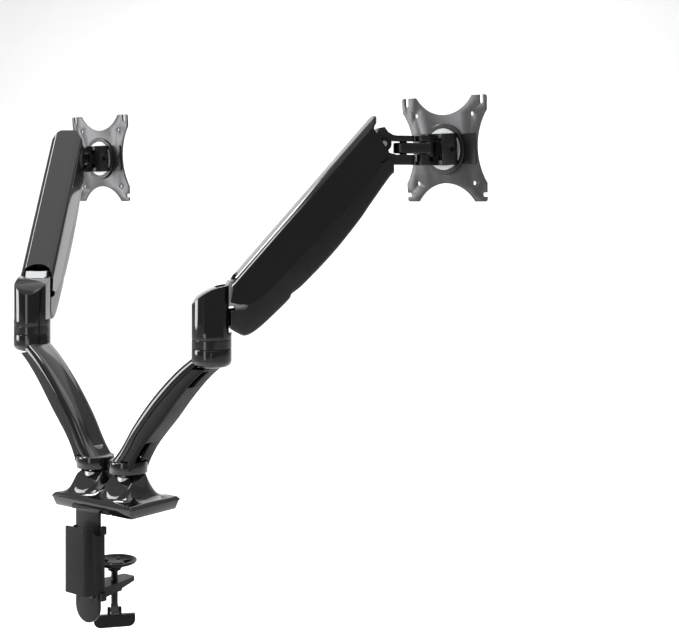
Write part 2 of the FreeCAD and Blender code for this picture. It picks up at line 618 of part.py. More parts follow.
def fork_parts(frame):
    side, origin, angle = frame
    x, z = FORK_PIVOT
    low = z - PIN_GAP
    cheek = prism([(x - 6, low - 5), (x + 4, low - 6), (x + 9, low + 2), (x + 11, LOWER_EAR[0]),
                   (x + 14, LOWER_EAR[0]), (x + 14, LOWER_EAR[1]), (x + 6, LOWER_EAR[1] + 2),
                   (x + 5, LOWER_EAR[1] + 5), (x + 7, UPPER_EAR[0]), (x + 14, UPPER_EAR[0]),
                   (x + 14, UPPER_EAR[1]), (x + 10, UPPER_EAR[1] + 0.8), (x + 5, UPPER_EAR[1] + 3.6),
                   (x + 1, UPPER_EAR[1] + 9), (x - 4, UPPER_EAR[1] + 8), (x - 8, z + 4), (x - 8, z - 4),
                   (x - 5, z - 9), (x - 5, low + 8), (x - 7, low + 4)], -TONGUE_HALF, TONGUE_HALF)
    solid = cheek
    for z0, z1 in (UPPER_EAR, LOWER_EAR):
        solid = join(solid, box(x + 8, PIN_ONE, -EAR_END + 0.6, EAR_END - 0.6, z0, z1),
                     rod(EAR_END, (PIN_ONE, 0, z0), (PIN_ONE, 0, z1)))
    solid = solid.cut(rod(SWIVEL_PIN + FIT, (PIN_ONE, 0, 376.5), (PIN_ONE, 0, 410)))
    pins = []
    for height in (z, low):
        solid = solid.cut(rod(PIVOT_RADIUS + FIT, (x, -20, height), (x, 20, height)))
        pins.append(rod(PIVOT_RADIUS, (x, -15.2, height), (x, 15.2, height)))
    upright = rod(SWIVEL_PIN, (PIN_ONE, 0, 376.8), (PIN_ONE, 0, 404.4))
    keep("arm_fork_" + side, placed(solid, origin, angle))
    keep("fork_pins_" + side, *[placed(p, origin, angle) for p in pins])
    keep("link_pin_" + side, placed(upright, origin, angle))


def swivel_link(frame):
    side, origin, angle = frame
    solid = join(rod(LINK_END, (0, 0, LINK_Z[0]), (0, 0, LINK_Z[1])),
                 rod(LINK_END, (LINK_REACH, 0, LINK_Z[0]), (LINK_REACH, 0, LINK_Z[1])),
                 box(0, LINK_REACH, -LINK_END, LINK_END, *LINK_Z))
    for x in (0, LINK_REACH):
        solid = solid.cut(rod(SWIVEL_PIN + FIT, (x, 0, 380), (x, 0, 400)))
    keep("swivel_link_" + side, placed(solid, origin, angle))


# ---------------------------------------------------------------- head
# Local frame: origin on the head pin, +X along the plate's normal.
TILT_X = 28.0                  # head pin to the tilt axis
BARREL_DEPTH = 15.0            # the barrel is half an ellipse, seen from above
BARREL_HALF = 19.5
BARREL_HALF_HEIGHT = 17.2
BARREL_FRONT = FACE_REACH - 6.1
BARREL_SLOT = 8.4
TONGUE_END = 6.5               # round end of the knuckle's tongue, on the tilt axis
WEB_END = 16.6
WEB_HALF = BARREL_SLOT - GAP   # the web and tongue run between the barrel's halves
NARROW_FROM = 12.5             # past here the ears are no wider than the web


def knuckle_parts(frame):
    side, origin, angle = frame
    half = HEAD_EAR_HALF
    z = HEAD_Z
    web = box(13.5, WEB_END, -WEB_HALF, WEB_HALF, HEAD_EARS[1][0], HEAD_EARS[0][1])
    tongue = join(box(14, TILT_X, -WEB_HALF, WEB_HALF, z - TONGUE_END, z + TONGUE_END),
                  rod(TONGUE_END, (TILT_X, -WEB_HALF, z), (TILT_X, WEB_HALF, z)))
    solid = join(web, tongue)
    for z0, z1 in HEAD_EARS:
        solid = join(solid, rod(half, (0, 0, z0), (0, 0, z1)), box(0, NARROW_FROM, -half, half, z0, z1),
                     box(NARROW_FROM - 1, WEB_END, -WEB_HALF, WEB_HALF, z0, z1))
    bolt_hole = rod(PIVOT_RADIUS + FIT, (TILT_X, -30, z), (TILT_X, 30, z))
    pin_hole = rod(SWIVEL_PIN + FIT, (0, 0, 376.5), (0, 0, 410))
    solid = drill(solid, bolt_hole, pin_hole)
    pin = rod(SWIVEL_PIN, (0, 0, 376.8), (0, 0, HEAD_EARS[0][1] - 0.5))
    keep("head_knuckle_" + side, placed(solid, origin, angle))
    keep("head_pin_" + side, placed(pin, origin, angle))


def leaned(shape):
    """Lean a plate-side piece to the tilt it has at rest."""
    moved = shape.copy()
    moved.rotate(Vec(TILT_X, 0, HEAD_Z), Vec(0, 1, 0), -TILT_AT_REST)
    return moved


def tilt_parts(frame):
    side, origin, angle = frame
    z = HEAD_Z
    disc = join(rod(22.7, (FACE_REACH - 6.0, 0, z), (FACE_REACH - 4.2, 0, z)),
                rod(24.9, (FACE_REACH - 4.2, 0, z), (FACE_REACH - 2.8, 0, z)))
    outline = [(BARREL_FRONT, BARREL_HALF), (BARREL_FRONT, -BARREL_HALF)]
    for i in range(1, 24):
        turn = math.radians(-90 - 7.5 * i)
        outline.append((BARREL_FRONT + BARREL_DEPTH * math.cos(turn), BARREL_HALF * math.sin(turn)))
    barrel = slab(outline, z - BARREL_HALF_HEIGHT, z + BARREL_HALF_HEIGHT)
    barrel = round_edges(barrel, 1.5, lambda e, m: abs(abs(m.z - z) - BARREL_HALF_HEIGHT) < 0.01
                         and m.x < BARREL_FRONT - 0.01)
    slot = join(box(0, TILT_X, -BARREL_SLOT, BARREL_SLOT, z - 20, z + 20),
                box(TILT_X - 1, BARREL_FRONT + 1, -BARREL_SLOT, BARREL_SLOT, z - 12, z + 12))
    barrel = drill(barrel, slot, rod(PIVOT_RADIUS + FIT, (TILT_X, -30, z), (TILT_X, 30, z)))
    bolt = rod(PIVOT_RADIUS, (TILT_X, -16.5, z), (TILT_X, 16.5, z))
    keep("tilt_bracket_" + side, placed(leaned(disc), origin, angle))
    keep("tilt_barrel_" + side, placed(leaned(barrel), origin, angle))
    keep("tilt_bolt_" + side, placed(leaned(bolt), origin, angle))


PLATE_HALF = 57.5              # half the plate's height
TOP_HALF = 56.5
FOOT_HALF = 53.0
PLATE_THICK = 2.4
WAIST_HALF = 42.5
ARC_DEPTH_V = 37.5
SMALL_PATTERN = 75.0
LARGE_PATTERN = 100.0
SCREW_HOLE = 2.3


def plate_parts(frame):
    side, origin, angle = frame
    z = HEAD_Z
    back = FACE_REACH - PLATE_THICK
    plate = prism([(-TOP_HALF, z + PLATE_HALF), (TOP_HALF, z + PLATE_HALF), (FOOT_HALF, z - PLATE_HALF),
                   (-FOOT_HALF, z - PLATE_HALF)], -FACE_REACH, -back)
    plate.rotate(Vec(0, 0, 0), Vec(0, 0, 1), 90)
    plate = round_edges(plate, 2.5, lambda e, m: abs(m.x - back - PLATE_THICK / 2) < 0.01)
    end_arc, side_arc = 46.0, 69.0
    for turn in (1, -1):
        centre_z = z + turn * (ARC_DEPTH_V + end_arc)
        centre_y = turn * (WAIST_HALF + side_arc)
        plate = drill(plate, rod(end_arc, (back - 1, 0, centre_z), (FACE_REACH + 1, 0, centre_z)),
                      rod(side_arc, (back - 1, centre_y, z), (FACE_REACH + 1, centre_y, z)))
    for y in (-1, 1):
        for up in (-1, 1):
            small = SMALL_PATTERN / 2
            large = LARGE_PATTERN / 2
            plate = plate.cut(rod(SCREW_HOLE, (back - 1, y * small, z + up * small),
                                  (FACE_REACH + 1, y * small, z + up * small)))
            plate = plate.cut(rod(SCREW_HOLE, (back - 1, y * large, z + up * large),
                                  (FACE_REACH + 1, y * large, z + up * large)))
            if up == 1:
                slot = box(back - 1, FACE_REACH + 1, y * large - SCREW_HOLE, y * large + SCREW_HOLE,
                           z + large, z + PLATE_HALF + 1)
            else:
                inner, outer = sorted((y * large, y * (PLATE_HALF + 1)))
                slot = box(back - 1, FACE_REACH + 1, inner, outer, z - large - SCREW_HOLE,
                           z - large + SCREW_HOLE)
            plate = plate.cut(slot)
    ring = tube(28.0, 23.0, (back - 3.4, 0, z), (back - 0.05, 0, z))
    ring = ring.cut(rod(25.2, (back - 2.1, 0, z), (back, 0, z)))
    wings = []
    for turn in (1, -1):
        low, high = sorted((turn * 20.0, turn * 42.0))
        wing = box(back - 1.6, back - 0.05, low, high, z - BARREL_HALF_HEIGHT, z + BARREL_HALF_HEIGHT)
        wings.append(wing.cut(rod(28.2, (back - 3, 0, z), (back + 1, 0, z))))
    keep("vesa_plate_" + side, placed(leaned(plate), origin, angle))
    keep("hub_ring_" + side, placed(leaned(ring), origin, angle))
    keep("plate_stiffeners_" + side, *[placed(leaned(w), origin, angle) for w in wings])


# ================================================================ assembly
def make_arm(side, rest):
    boss = (rest["base_x"], 0.0)
    elbow = step_from(boss, LOWER_REACH, rest["lower"])
    pin_one = step_from(elbow, PIN_ONE, rest["upper"])
    pin_two = step_from(pin_one, LINK_REACH, rest["link"])
    lower_arm_parts((side, boss, rest["lower"]))
    arm_frame = (side, elbow, rest["upper"])
    yoke_parts(arm_frame)
    upper_arm_parts(arm_frame)
    fork_parts(arm_frame)
    swivel_link((side, pin_one, rest["link"]))
    head_frame = (side, pin_two, rest["head"])
    knuckle_parts(head_frame)
    tilt_parts(head_frame)
    plate_parts(head_frame)


make_base()
for arm_side, arm_rest in ARMS.items():
    make_arm(arm_side, arm_rest)

os.makedirs("parts", exist_ok=True)
for part_name, part_shape in PARTS:
    part_shape.exportStep("parts/" + part_name + ".step")
    print(part_name, len(part_shape.Solids), part_shape.isValid(), round(part_shape.Volume))
print(len(PARTS), "pieces")
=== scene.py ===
"""Looks of the desk-clamp monitor arm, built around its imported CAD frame."""
import bpy
import bmesh
import math
import numpy as np
from contextlib import contextmanager
from mathutils import Matrix, Vector


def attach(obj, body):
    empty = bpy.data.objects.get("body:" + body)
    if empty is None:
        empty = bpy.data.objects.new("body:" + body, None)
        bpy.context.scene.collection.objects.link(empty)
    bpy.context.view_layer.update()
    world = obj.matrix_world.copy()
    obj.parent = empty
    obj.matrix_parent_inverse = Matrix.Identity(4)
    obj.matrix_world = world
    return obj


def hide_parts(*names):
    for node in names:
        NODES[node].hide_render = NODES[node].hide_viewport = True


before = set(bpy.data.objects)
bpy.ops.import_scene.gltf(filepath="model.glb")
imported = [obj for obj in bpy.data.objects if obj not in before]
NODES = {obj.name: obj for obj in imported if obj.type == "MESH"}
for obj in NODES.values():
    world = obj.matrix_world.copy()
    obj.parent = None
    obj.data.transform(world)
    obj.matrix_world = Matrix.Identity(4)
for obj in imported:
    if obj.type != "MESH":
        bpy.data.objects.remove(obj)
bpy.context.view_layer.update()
MM = 0.001


# ================================================================ materials
def new_material(name):
    material = bpy.data.materials.new(name)
    material.use_nodes = True
    tree = material.node_tree
    return material, tree, tree.nodes["Principled BSDF"]


def noise(tree, scale, detail=4.0, rough=0.5, stretch=(1, 1, 1)):
    coords = tree.nodes.new("ShaderNodeTexCoord")
    mapping = tree.nodes.new("ShaderNodeMapping")
    mapping.inputs["Scale"].default_value = stretch
    node = tree.nodes.new("ShaderNodeTexNoise")
    node.inputs["Scale"].default_value = scale
    node.inputs["Detail"].default_value = detail
    node.inputs["Roughness"].default_value = rough
    tree.links.new(coords.outputs["Object"], mapping.inputs["Vector"])
    tree.links.new(mapping.outputs["Vector"], node.inputs["Vector"])
    return node.outputs["Fac"]


def spread(tree, value, low, high, start=0.3, stop=0.7):
    node = tree.nodes.new("ShaderNodeMapRange")
    node.inputs["From Min"].default_value = start
    node.inputs["From Max"].default_value = stop
    node.inputs["To Min"].default_value = low
    node.inputs["To Max"].default_value = high
    tree.links.new(value, node.inputs["Value"])
    return node.outputs["Result"]


def mixed(tree, factor, first, second):
    node = tree.nodes.new("ShaderNodeMix")
    node.data_type = "RGBA"
    node.inputs["A"].default_value = (*first, 1)
    node.inputs["B"].default_value = (*second, 1)
    tree.links.new(factor, node.inputs["Factor"])
    return node.outputs["Result"]


def bumped(tree, shader, value, strength, distance):
    node = tree.nodes.new("ShaderNodeBump")
    node.inputs["Strength"].default_value = strength
    node.inputs["Distance"].default_value = distance
    tree.links.new(value, node.inputs["Height"])
    tree.links.new(node.outputs["Normal"], shader.inputs["Normal"])


def surface(name, dark, light, rough, metal=0.0, grain=900.0, bump=0.05, depth=0.0002,
            cloud=18.0, stretch=(1, 1, 1), specular=0.5):
    """A material whose colour, roughness and height all vary over the surface."""
    material, tree, shader = new_material(name)
    shader.inputs["Metallic"].default_value = metal
    shader.inputs["Specular IOR Level"].default_value = specular
    clouds = noise(tree, cloud, 5.0)
    fine = noise(tree, grain, 3.0, 0.6, stretch)
    tree.links.new(mixed(tree, clouds, dark, light), shader.inputs["Base Color"])
    blend = tree.nodes.new("ShaderNodeMath")
    blend.operation = "ADD"
    tree.links.new(spread(tree, clouds, rough[0], (rough[0] + rough[1]) / 2), blend.inputs[0])
    tree.links.new(spread(tree, fine, 0.0, (rough[1] - rough[0]) / 2), blend.inputs[1])
    tree.links.new(blend.outputs["Value"], shader.inputs["Roughness"])
    bumped(tree, shader, fine, bump, depth)
    return material


MATERIALS = {
    "gloss_shell": surface("GlossShell", (0.003, 0.003, 0.0033), (0.0045, 0.0045, 0.005), (0.04, 0.10),
                           grain=260, bump=0.010, depth=0.0002, cloud=9, specular=0.42),
    "gloss_metal": surface("GlossPaint", (0.003, 0.003, 0.0033), (0.005, 0.005, 0.0055), (0.05, 0.12),
                           grain=320, bump=0.012, depth=0.0002, cloud=9, specular=0.42),
    "satin_black": surface("SatinBlack", (0.004, 0.004, 0.0044), (0.007, 0.007, 0.0075), (0.22, 0.34),
                           grain=1500, bump=0.10, depth=0.0001, specular=0.34),
    "satin_steel": surface("PowderBlack", (0.004, 0.004, 0.0044), (0.007, 0.007, 0.0075), (0.30, 0.44),
                           grain=1900, bump=0.16, depth=0.0001, specular=0.13),
    "plate_steel": surface("PlateSteel", (0.050, 0.050, 0.052), (0.075, 0.075, 0.077), (0.34, 0.46),
                           metal=0.85, grain=500, bump=0.04, depth=0.0001, stretch=(1, 6, 9), cloud=6),
    "cast_metal": surface("CastAluminium", (0.26, 0.265, 0.27), (0.36, 0.365, 0.37), (0.36, 0.52), metal=0.9,
                          grain=1300, bump=0.22, depth=0.0002),
    "plain_steel": surface("TurnedSteel", (0.42, 0.43, 0.45), (0.55, 0.56, 0.58), (0.18, 0.32), metal=1.0,
                           grain=700, bump=0.06, depth=0.0001, stretch=(1, 1, 14)),
    "dark_screws": surface("BlackOxide", (0.012, 0.012, 0.013), (0.028, 0.028, 0.03), (0.26, 0.42),
                           metal=0.7, grain=1500, bump=0.12, depth=0.0001),
    "black_thread": surface("OiledThread", (0.008, 0.008, 0.009), (0.018, 0.018, 0.02), (0.22, 0.40),
                            metal=0.5, grain=1400, bump=0.12, depth=0.0001),
    "matte_plastic": surface("MattePlastic", (0.004, 0.004, 0.0044), (0.007, 0.007, 0.0075), (0.42, 0.58),
                             grain=2100, bump=0.14, depth=0.0001, specular=0.11),
    "pad_rubber": surface("FoamRubber", (0.010, 0.010, 0.010), (0.018, 0.018, 0.018), (0.72, 0.9),
                          grain=900, bump=0.4, depth=0.0003),
}


# ================================================================ mesh helpers
class Place:
    """A local frame in millimetres: origin (x, y), turned about the vertical."""

    def __init__(self, x, y, degrees):
        turn = Matrix.Rotation(math.radians(degrees), 4, "Z")
        self.matrix = Matrix.Translation((x * MM, y * MM, 0)) @ turn @ Matrix.Scale(MM, 4)


HERE = Place(0, 0, 0)


def as_object(name, verts, faces, merge=0.0):
    mesh = bpy.data.meshes.new(name)
    mesh.from_pydata([tuple(v) for v in verts], [], faces)
    bm = bmesh.new()
    bm.from_mesh(mesh)
    if merge:
        bmesh.ops.remove_doubles(bm, verts=bm.verts, dist=merge)
    bmesh.ops.recalc_face_normals(bm, faces=bm.faces)
    bm.to_mesh(mesh)
    bm.free()
    obj = bpy.data.objects.new(name, mesh)
    bpy.context.scene.collection.objects.link(obj)
    return obj


@contextmanager
def open_mesh(obj):
    """The object's mesh, open for editing and written back at the end."""
    bm = bmesh.new()
    bm.from_mesh(obj.data)
    yield bm
    bm.to_mesh(obj.data)
    bm.free()


def face_up(obj):
    """Turn an open skin so that most of it faces upwards."""
    with open_mesh(obj) as bm:
        if sum(f.normal.z for f in bm.faces) < 0:
            bmesh.ops.reverse_faces(bm, faces=bm.faces)


def settle(obj):
    """Turn the object's modifiers into plain mesh."""
    graph = bpy.context.evaluated_depsgraph_get()
    graph.update()
    mesh = bpy.data.meshes.new_from_object(obj.evaluated_get(graph))
    obj.modifiers.clear()
    obj.data = mesh
    return obj


def bevel(obj, width, segments=3, angle=28):
    m = obj.modifiers.new("Bevel", "BEVEL")
    m.width = width
    m.segments = segments
    m.limit_method = "ANGLE"
    m.angle_limit = math.radians(angle)
    m.miter_outer = "MITER_ARC"
    return settle(obj)


def thicken(obj, thickness, even=False):
    """Give an open skin a wall on its inner side."""
    m = obj.modifiers.new("Solidify", "SOLIDIFY")
    m.thickness = thickness
    m.offset = -1
    m.use_even_offset = even
    return settle(obj)


def combine(obj, other, how):
    m = obj.modifiers.new("Boolean", "BOOLEAN")
    m.operation = how
    m.solver = "EXACT"
    m.object = other
    settle(obj)
    bpy.data.objects.remove(other)
    return obj


def cut(obj, *others):
    for other in others:
        combine(obj, other, "DIFFERENCE")
    return obj


def add(obj, *others):
    for other in others:
        combine(obj, other, "UNION")
    return obj


def prism(outline, low, high, axis="y"):
    """Extrude a 2-D outline: (x, z) along y, (x, y) along z, or (y, z) along x."""
    def at(p, h):
        return {"y": (p[0], h, p[1]), "z": (p[0], p[1], h), "x": (h, p[0], p[1])}[axis]
    n = len(outline)
    verts = [at(p, low) for p in outline] + [at(p, high) for p in outline]
    faces = [tuple(range(n)), tuple(range(2 * n - 1, n - 1, -1))]
    faces += [(i, (i + 1) % n, n + (i + 1) % n, n + i) for i in range(n)]
    return as_object("piece", verts, faces)


def block(x0, x1, y0, y1, z0, z1):
    return prism([(x0, y0), (x1, y0), (x1, y1), (x0, y1)], z0, z1, "z")


def lathe(profile, centre=(0, 0, 0), axis="z", count=64, closed=False):
    """Turn (radius, height) points about an axis; ends on the axis are closed."""
    verts, faces, rings = [], [], []
    for radius, height in profile:
        ring = []
        steps = 1 if radius < 1e-6 else count
        for i in range(steps):
            a = 2 * math.pi * i / count
            c, s = radius * math.cos(a), radius * math.sin(a)
            p = {"z": (c, s, height), "x": (height, c, s), "y": (c, height, s)}[axis]
            ring.append(len(verts))
            verts.append(tuple(p[k] + centre[k] for k in range(3)))
        rings.append(ring)
    pairs = list(zip(rings, rings[1:]))
    if closed:
        pairs.append((rings[-1], rings[0]))
    for a, b in pairs:
        if len(a) == 1 and len(b) == 1:
            continue
        for i in range(count):
            j = (i + 1) % count
            if len(a) == 1:
                faces.append((a[0], b[j], b[i]))
            elif len(b) == 1:
                faces.append((a[i], a[j], b[0]))
            else:
                faces.append((a[i], a[j], b[j], b[i]))
    return as_object("piece", verts, faces)


def rod(radius, z0, z1, centre=(0, 0), axis="z", chamfer=0.0, count=48):
    profile = [(0, z0), (radius - chamfer, z0), (radius, z0 + chamfer), (radius, z1 - chamfer),
               (radius - chamfer, z1), (0, z1)]
    if not chamfer:
        profile = [(0, z0), (radius, z0), (radius, z1), (0, z1)]
    first, second = centre
    c = {"z": (first, second, 0), "y": (first, 0, second), "x": (0, first, second)}[axis]
    return lathe(profile, c, axis, count)


def sheet_grid(rows, close_u=False, close_v=False, merge=0.001):
    """Quads over a grid of points (rows of equal length)."""
    verts = [p for row in rows for p in row]
    n, m = len(rows), len(rows[0])
    faces = []
    for i in range(n if close_u else n - 1):
        for j in range(m if close_v else m - 1):
            a, b = i * m + j, i * m + (j + 1) % m
            c, d = ((i + 1) % n) * m + (j + 1) % m, ((i + 1) % n) * m + j
            faces.append((a, b, c, d))
    return as_object("piece", verts, faces, merge)


def close_ends(obj):
    with open_mesh(obj) as bm:
        bmesh.ops.holes_fill(bm, edges=[e for e in bm.edges if e.is_boundary])
        bmesh.ops.recalc_face_normals(bm, faces=bm.faces)
    return obj


def arc(cx, cy, radius, first, last, steps=12):
    """Points on an arc, angles in degrees."""
    return [(cx + radius * math.cos(math.radians(first + (last - first) * i / steps)),
             cy + radius * math.sin(math.radians(first + (last - first) * i / steps)))
            for i in range(steps + 1)]


def smooth_curve(points, count):
    """A centripetal curve through the points, sampled evenly."""
    p = np.array(points, float)
    ends = np.vstack([2 * p[0] - p[1], p, 2 * p[-1] - p[-2]])
    out = []
    for k in range(1, len(ends) - 2):
        a, b, c, d = ends[k - 1], ends[k], ends[k + 1], ends[k + 2]
        for t in np.linspace(0, 1, 16, endpoint=False):
            out.append(0.5 * ((2 * b) + (c - a) * t + (2 * a - 5 * b + 4 * c - d) * t ** 2
                              + (3 * b - a - 3 * c + d) * t ** 3))
    out.append(ends[-2])
    out = np.array(out)
    length = np.concatenate([[0], np.cumsum(np.linalg.norm(np.diff(out, axis=0), axis=1))])
    want = np.linspace(0, length[-1], count)
    return [tuple(float(np.interp(w, length, out[:, k])) for k in range(out.shape[1])) for w in want]


def finish_piece(obj, name, place, body, slot, *cad_nodes, sharp=32):
    """Name the piece, put it in the row frame and tie it to its body."""
    obj.name = name
    obj.data.name = name
    obj.data.transform(place.matrix)
    obj.data.polygons.foreach_set("use_smooth", [True] * len(obj.data.polygons))
    obj.data.set_sharp_from_angle(angle=math.radians(sharp))
    obj.data.materials.clear()
    obj.data.materials.append(MATERIALS[slot])
    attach(obj, body)
    if cad_nodes:
        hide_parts(*cad_nodes)
    return obj


# ================================================================ base and clamp
SWIVEL_SPACING = 52.0
RIM_BOTTOM = (60.0, 33.5)
RIM_TOP = (63.0, 36.5)
RIM_TOP_Z = 10.8
RIM_Y = 5.5
BOSS_R = 18.0
BOSS_TOP = 41.5
FLARE_REACH = 46.0
FLARE_POWER = 2.1
HUMP_RISE = 9.0
BLEND = 9.0


def soft_min(a, b, sharpness):
    return (a ** -sharpness + b ** -sharpness) ** (-1 / sharpness)


def flare_height(x, y, side):
    """Height of the trumpet that rises to one boss, at a point of the plan."""
    away_x, away_y = x - side * SWIVEL_SPACING / 2, y
    away = math.hypot(away_x, away_y)
    if away <= BOSS_R:
        return BOSS_TOP
    to_edge_x = (RIM_TOP[0] - side * math.copysign(SWIVEL_SPACING / 2, away_x)) / max(abs(away_x), 1e-6)
    to_edge_y = (RIM_TOP[1] + math.copysign(RIM_Y, away_y)) / max(abs(away_y), 1e-6)
    # a soft minimum rounds the ridges that run to the corners
    reach = soft_min(to_edge_x, to_edge_y, 9) * away
    reach = soft_min(reach, FLARE_REACH, 8)
    left = max(0.0, 1 - (away - BOSS_R) / (reach - BOSS_R))
    return RIM_TOP_Z + (BOSS_TOP - RIM_TOP_Z) * left ** FLARE_POWER


def hump_height(x, y):
    """Height of the low hump that both bosses stand on."""
    out_x = max(0.0, abs(x) - SWIVEL_SPACING / 2) / (RIM_TOP[0] - SWIVEL_SPACING / 2)
    out_y = abs(y) / (RIM_TOP[1] + math.copysign(RIM_Y, y))
    out = min(1.0, (out_x ** 3 + out_y ** 3) ** (1 / 3))
    return RIM_TOP_Z + HUMP_RISE * (1 - out ** 1.5) ** 1.5


def soft_max(a, b):
    near = max(0.0, 1 - abs(a - b) / BLEND)
    return max(a, b) + BLEND / 4 * near ** 2


def base_shell():
    """One skin over both bosses, with a soft saddle between them."""
    rows = []
    across, deep = 132, 78
    for i in range(across + 1):
        x = RIM_TOP[0] * (2 * i / across - 1)
        row = []
        for k in range(deep + 1):
            y = RIM_Y + RIM_TOP[1] * (2 * k / deep - 1)
            boss = soft_max(flare_height(x, y, 1), flare_height(x, y, -1))
            z = min(BOSS_TOP, soft_max(boss, hump_height(x, y)))
            from_edge = min(RIM_TOP[0] - abs(x), RIM_TOP[1] - abs(y - RIM_Y))
            row.append((x, y, min(z, RIM_TOP_Z + 1.2 * from_edge)))
        rows.append(row)
    shell = sheet_grid(rows)
    face_up(shell)
    return thicken(shell, 2.0)


def base_rim():
    """The band under the flare, tapering in towards the desk."""
    rows = []
    for inset, z in ((2.6, 0.4), (0.5, 0.4), (0.0, 0.9), (0.0, RIM_TOP_Z - 0.9), (0.35, RIM_TOP_Z - 0.2),
                     (1.0, RIM_TOP_Z + 0.05), (3.2, RIM_TOP_Z - 0.1), (3.2, 3.0)):
        part = min(1.0, max(0.0, (z - 0.4) / (RIM_TOP_Z - 0.4)))
        hx = RIM_BOTTOM[0] + (RIM_TOP[0] - RIM_BOTTOM[0]) * part - inset
        hy = RIM_BOTTOM[1] + (RIM_TOP[1] - RIM_BOTTOM[1]) * part - inset
        r = max(0.6, 2.2 - inset * 0.4)
        ring = []
        for cx, cy, first in ((hx - r, hy - r, 0), (-hx + r, hy - r, 90), (-hx + r, -hy + r, 180),
                              (hx - r, -hy + r, 270)):
            ring += [(x, RIM_Y + y, z) for x, y in arc(cx, cy, r, first, first + 90, 5)]
        rows.append(ring)
    rim = sheet_grid(rows, close_u=True, close_v=True)
    return cut(rim, block(-29.3, 29.3, -40, -20, -1, 6.3))


UPRIGHT_Y = (-36.0, -31.5)
JAW_TOP = -79.0
SCREW_Y = 4.0
DISC_TOP = -57.2
HANDLE_PIN_Z = -112.5
BOLT_HOLE = 2.55
SCREW_BORE = 4.1
HANDLE_BORE = 1.55


def clamp_bracket():
    half = 17.5
    outline = [(-half, 1.5)] + arc(0, -116 + 17, half, 180, 360, 24) + [(half, 1.5)]
    upright = prism(outline, *UPRIGHT_Y)
    fold = arc(UPRIGHT_Y[0] + 4.5, 1.5, 4.5, 180, 90, 8)
    fold += [(UPRIGHT_Y[1] + 0.5, 6.0), (UPRIGHT_Y[1] + 0.5, 1.5), (UPRIGHT_Y[1], 1.4)]
    corner = prism(fold, -half, half, "x")
    flange = block(-29, 29, UPRIGHT_Y[1], 33, 1.5, 6.0)
    bracket = add(upright, corner, flange)
    for x in (-9, 9):
        cut(bracket, rod(BOLT_HOLE, -40, -20, (x, JAW_TOP - 6), "y"))
    for x in (-14, 14):
        for y in (-15, 21):
            cut(bracket, rod(BOLT_HOLE, 0, 9, (x, y)))
    return bevel(bracket, 0.7, 3, 40)


def lower_jaw():
    root = UPRIGHT_Y[1] + 0.1
    side = [(root, JAW_TOP), (27, JAW_TOP), (27, JAW_TOP - 4.5), (root + 8, JAW_TOP - 11.5),
            (root, JAW_TOP - 12)]
    jaw = prism(side, -15, 15, "x")
    tip = arc(9.5 - 3.5, 27 - 3.5, 3.5, 0, 90, 6)
    plan = [(-15, root - 1), (15, root - 1), (15, -8)] + tip
    plan += [(-x, y) for x, y in reversed(tip)] + [(-15, -8)]
    combine(jaw, prism(plan, JAW_TOP - 20, JAW_TOP + 3, "z"), "INTERSECT")
    add(jaw, rod(8.5, JAW_TOP - 12, JAW_TOP - 3, (0, SCREW_Y)))
    cut(jaw, rod(SCREW_BORE, JAW_TOP - 20, JAW_TOP + 4, (0, SCREW_Y)))
    for x in (-9, 9):
        cut(jaw, rod(BOLT_HOLE, -40, UPRIGHT_Y[1] + 7.5, (x, JAW_TOP - 6), "y"))
    return bevel(jaw, 0.7, 3, 30)


def clip_outline(half, back, front, corner):
    right = arc(half - corner, back + corner, corner, 0, -90, 8)
    left = arc(-half + corner, back + corner, corner, -90, -180, 8)
    return [(half, front)] + right + left + [(-half, front)]


def cable_clip():
    top, bottom = -11.5, -82.5
    grip = UPRIGHT_Y[1] + 2.6
    clip = prism(clip_outline(20.4, -52.7, grip, 8.0), bottom, top, "z")
    cut(clip, prism(clip_outline(18.2, -50.5, grip + 1, 6.0), bottom - 1, top + 1, "z"))
    for side in (1, -1):
        a, b = sorted((side * 15.5, side * 19.0))
        add(clip, block(a, b, UPRIGHT_Y[1] + 0.15, grip, bottom + 0.5, top - 8.5))
        a, b = sorted((side * 13.5, side * 18.8))
        add(clip, block(a, b, UPRIGHT_Y[0] - 2.2, UPRIGHT_Y[0] - 0.15, bottom + 0.5, top - 9.5))
    # the near side is cut down in a swoop that shows the upright
    outline = [(-46.5, top + 3)] + [(y + 6.5, z) for y, z in arc(-44.0, top - 2.0, 7.5, 180, 270, 10)]
    outline += [(-20, top - 9.5), (-20, top + 3)]
    cut(clip, prism(outline, 12.0, 24, "x"))
    # rounded shoulder on the far side
    cut(clip, prism([(-60, top + 2), (-60, top - 5)] + arc(-12.0, top - 8, 8.3, 180, 90, 8)[1:]
                    + [(-12, top + 2)], -60, -20, "y"))
    cut(clip, block(-22, -17.6, -48.2, UPRIGHT_Y[0] - 2.4, bottom - 1, top + 1))
    for low in (-90.5, -20.0):
        add(clip, block(18.3, 23.4, UPRIGHT_Y[0] + 1, grip - 0.1, low, low + 8.5))
    with open_mesh(clip) as bm:
        bmesh.ops.remove_doubles(bm, verts=bm.verts, dist=0.001)
    return bevel(clip, 0.5, 3, 40)


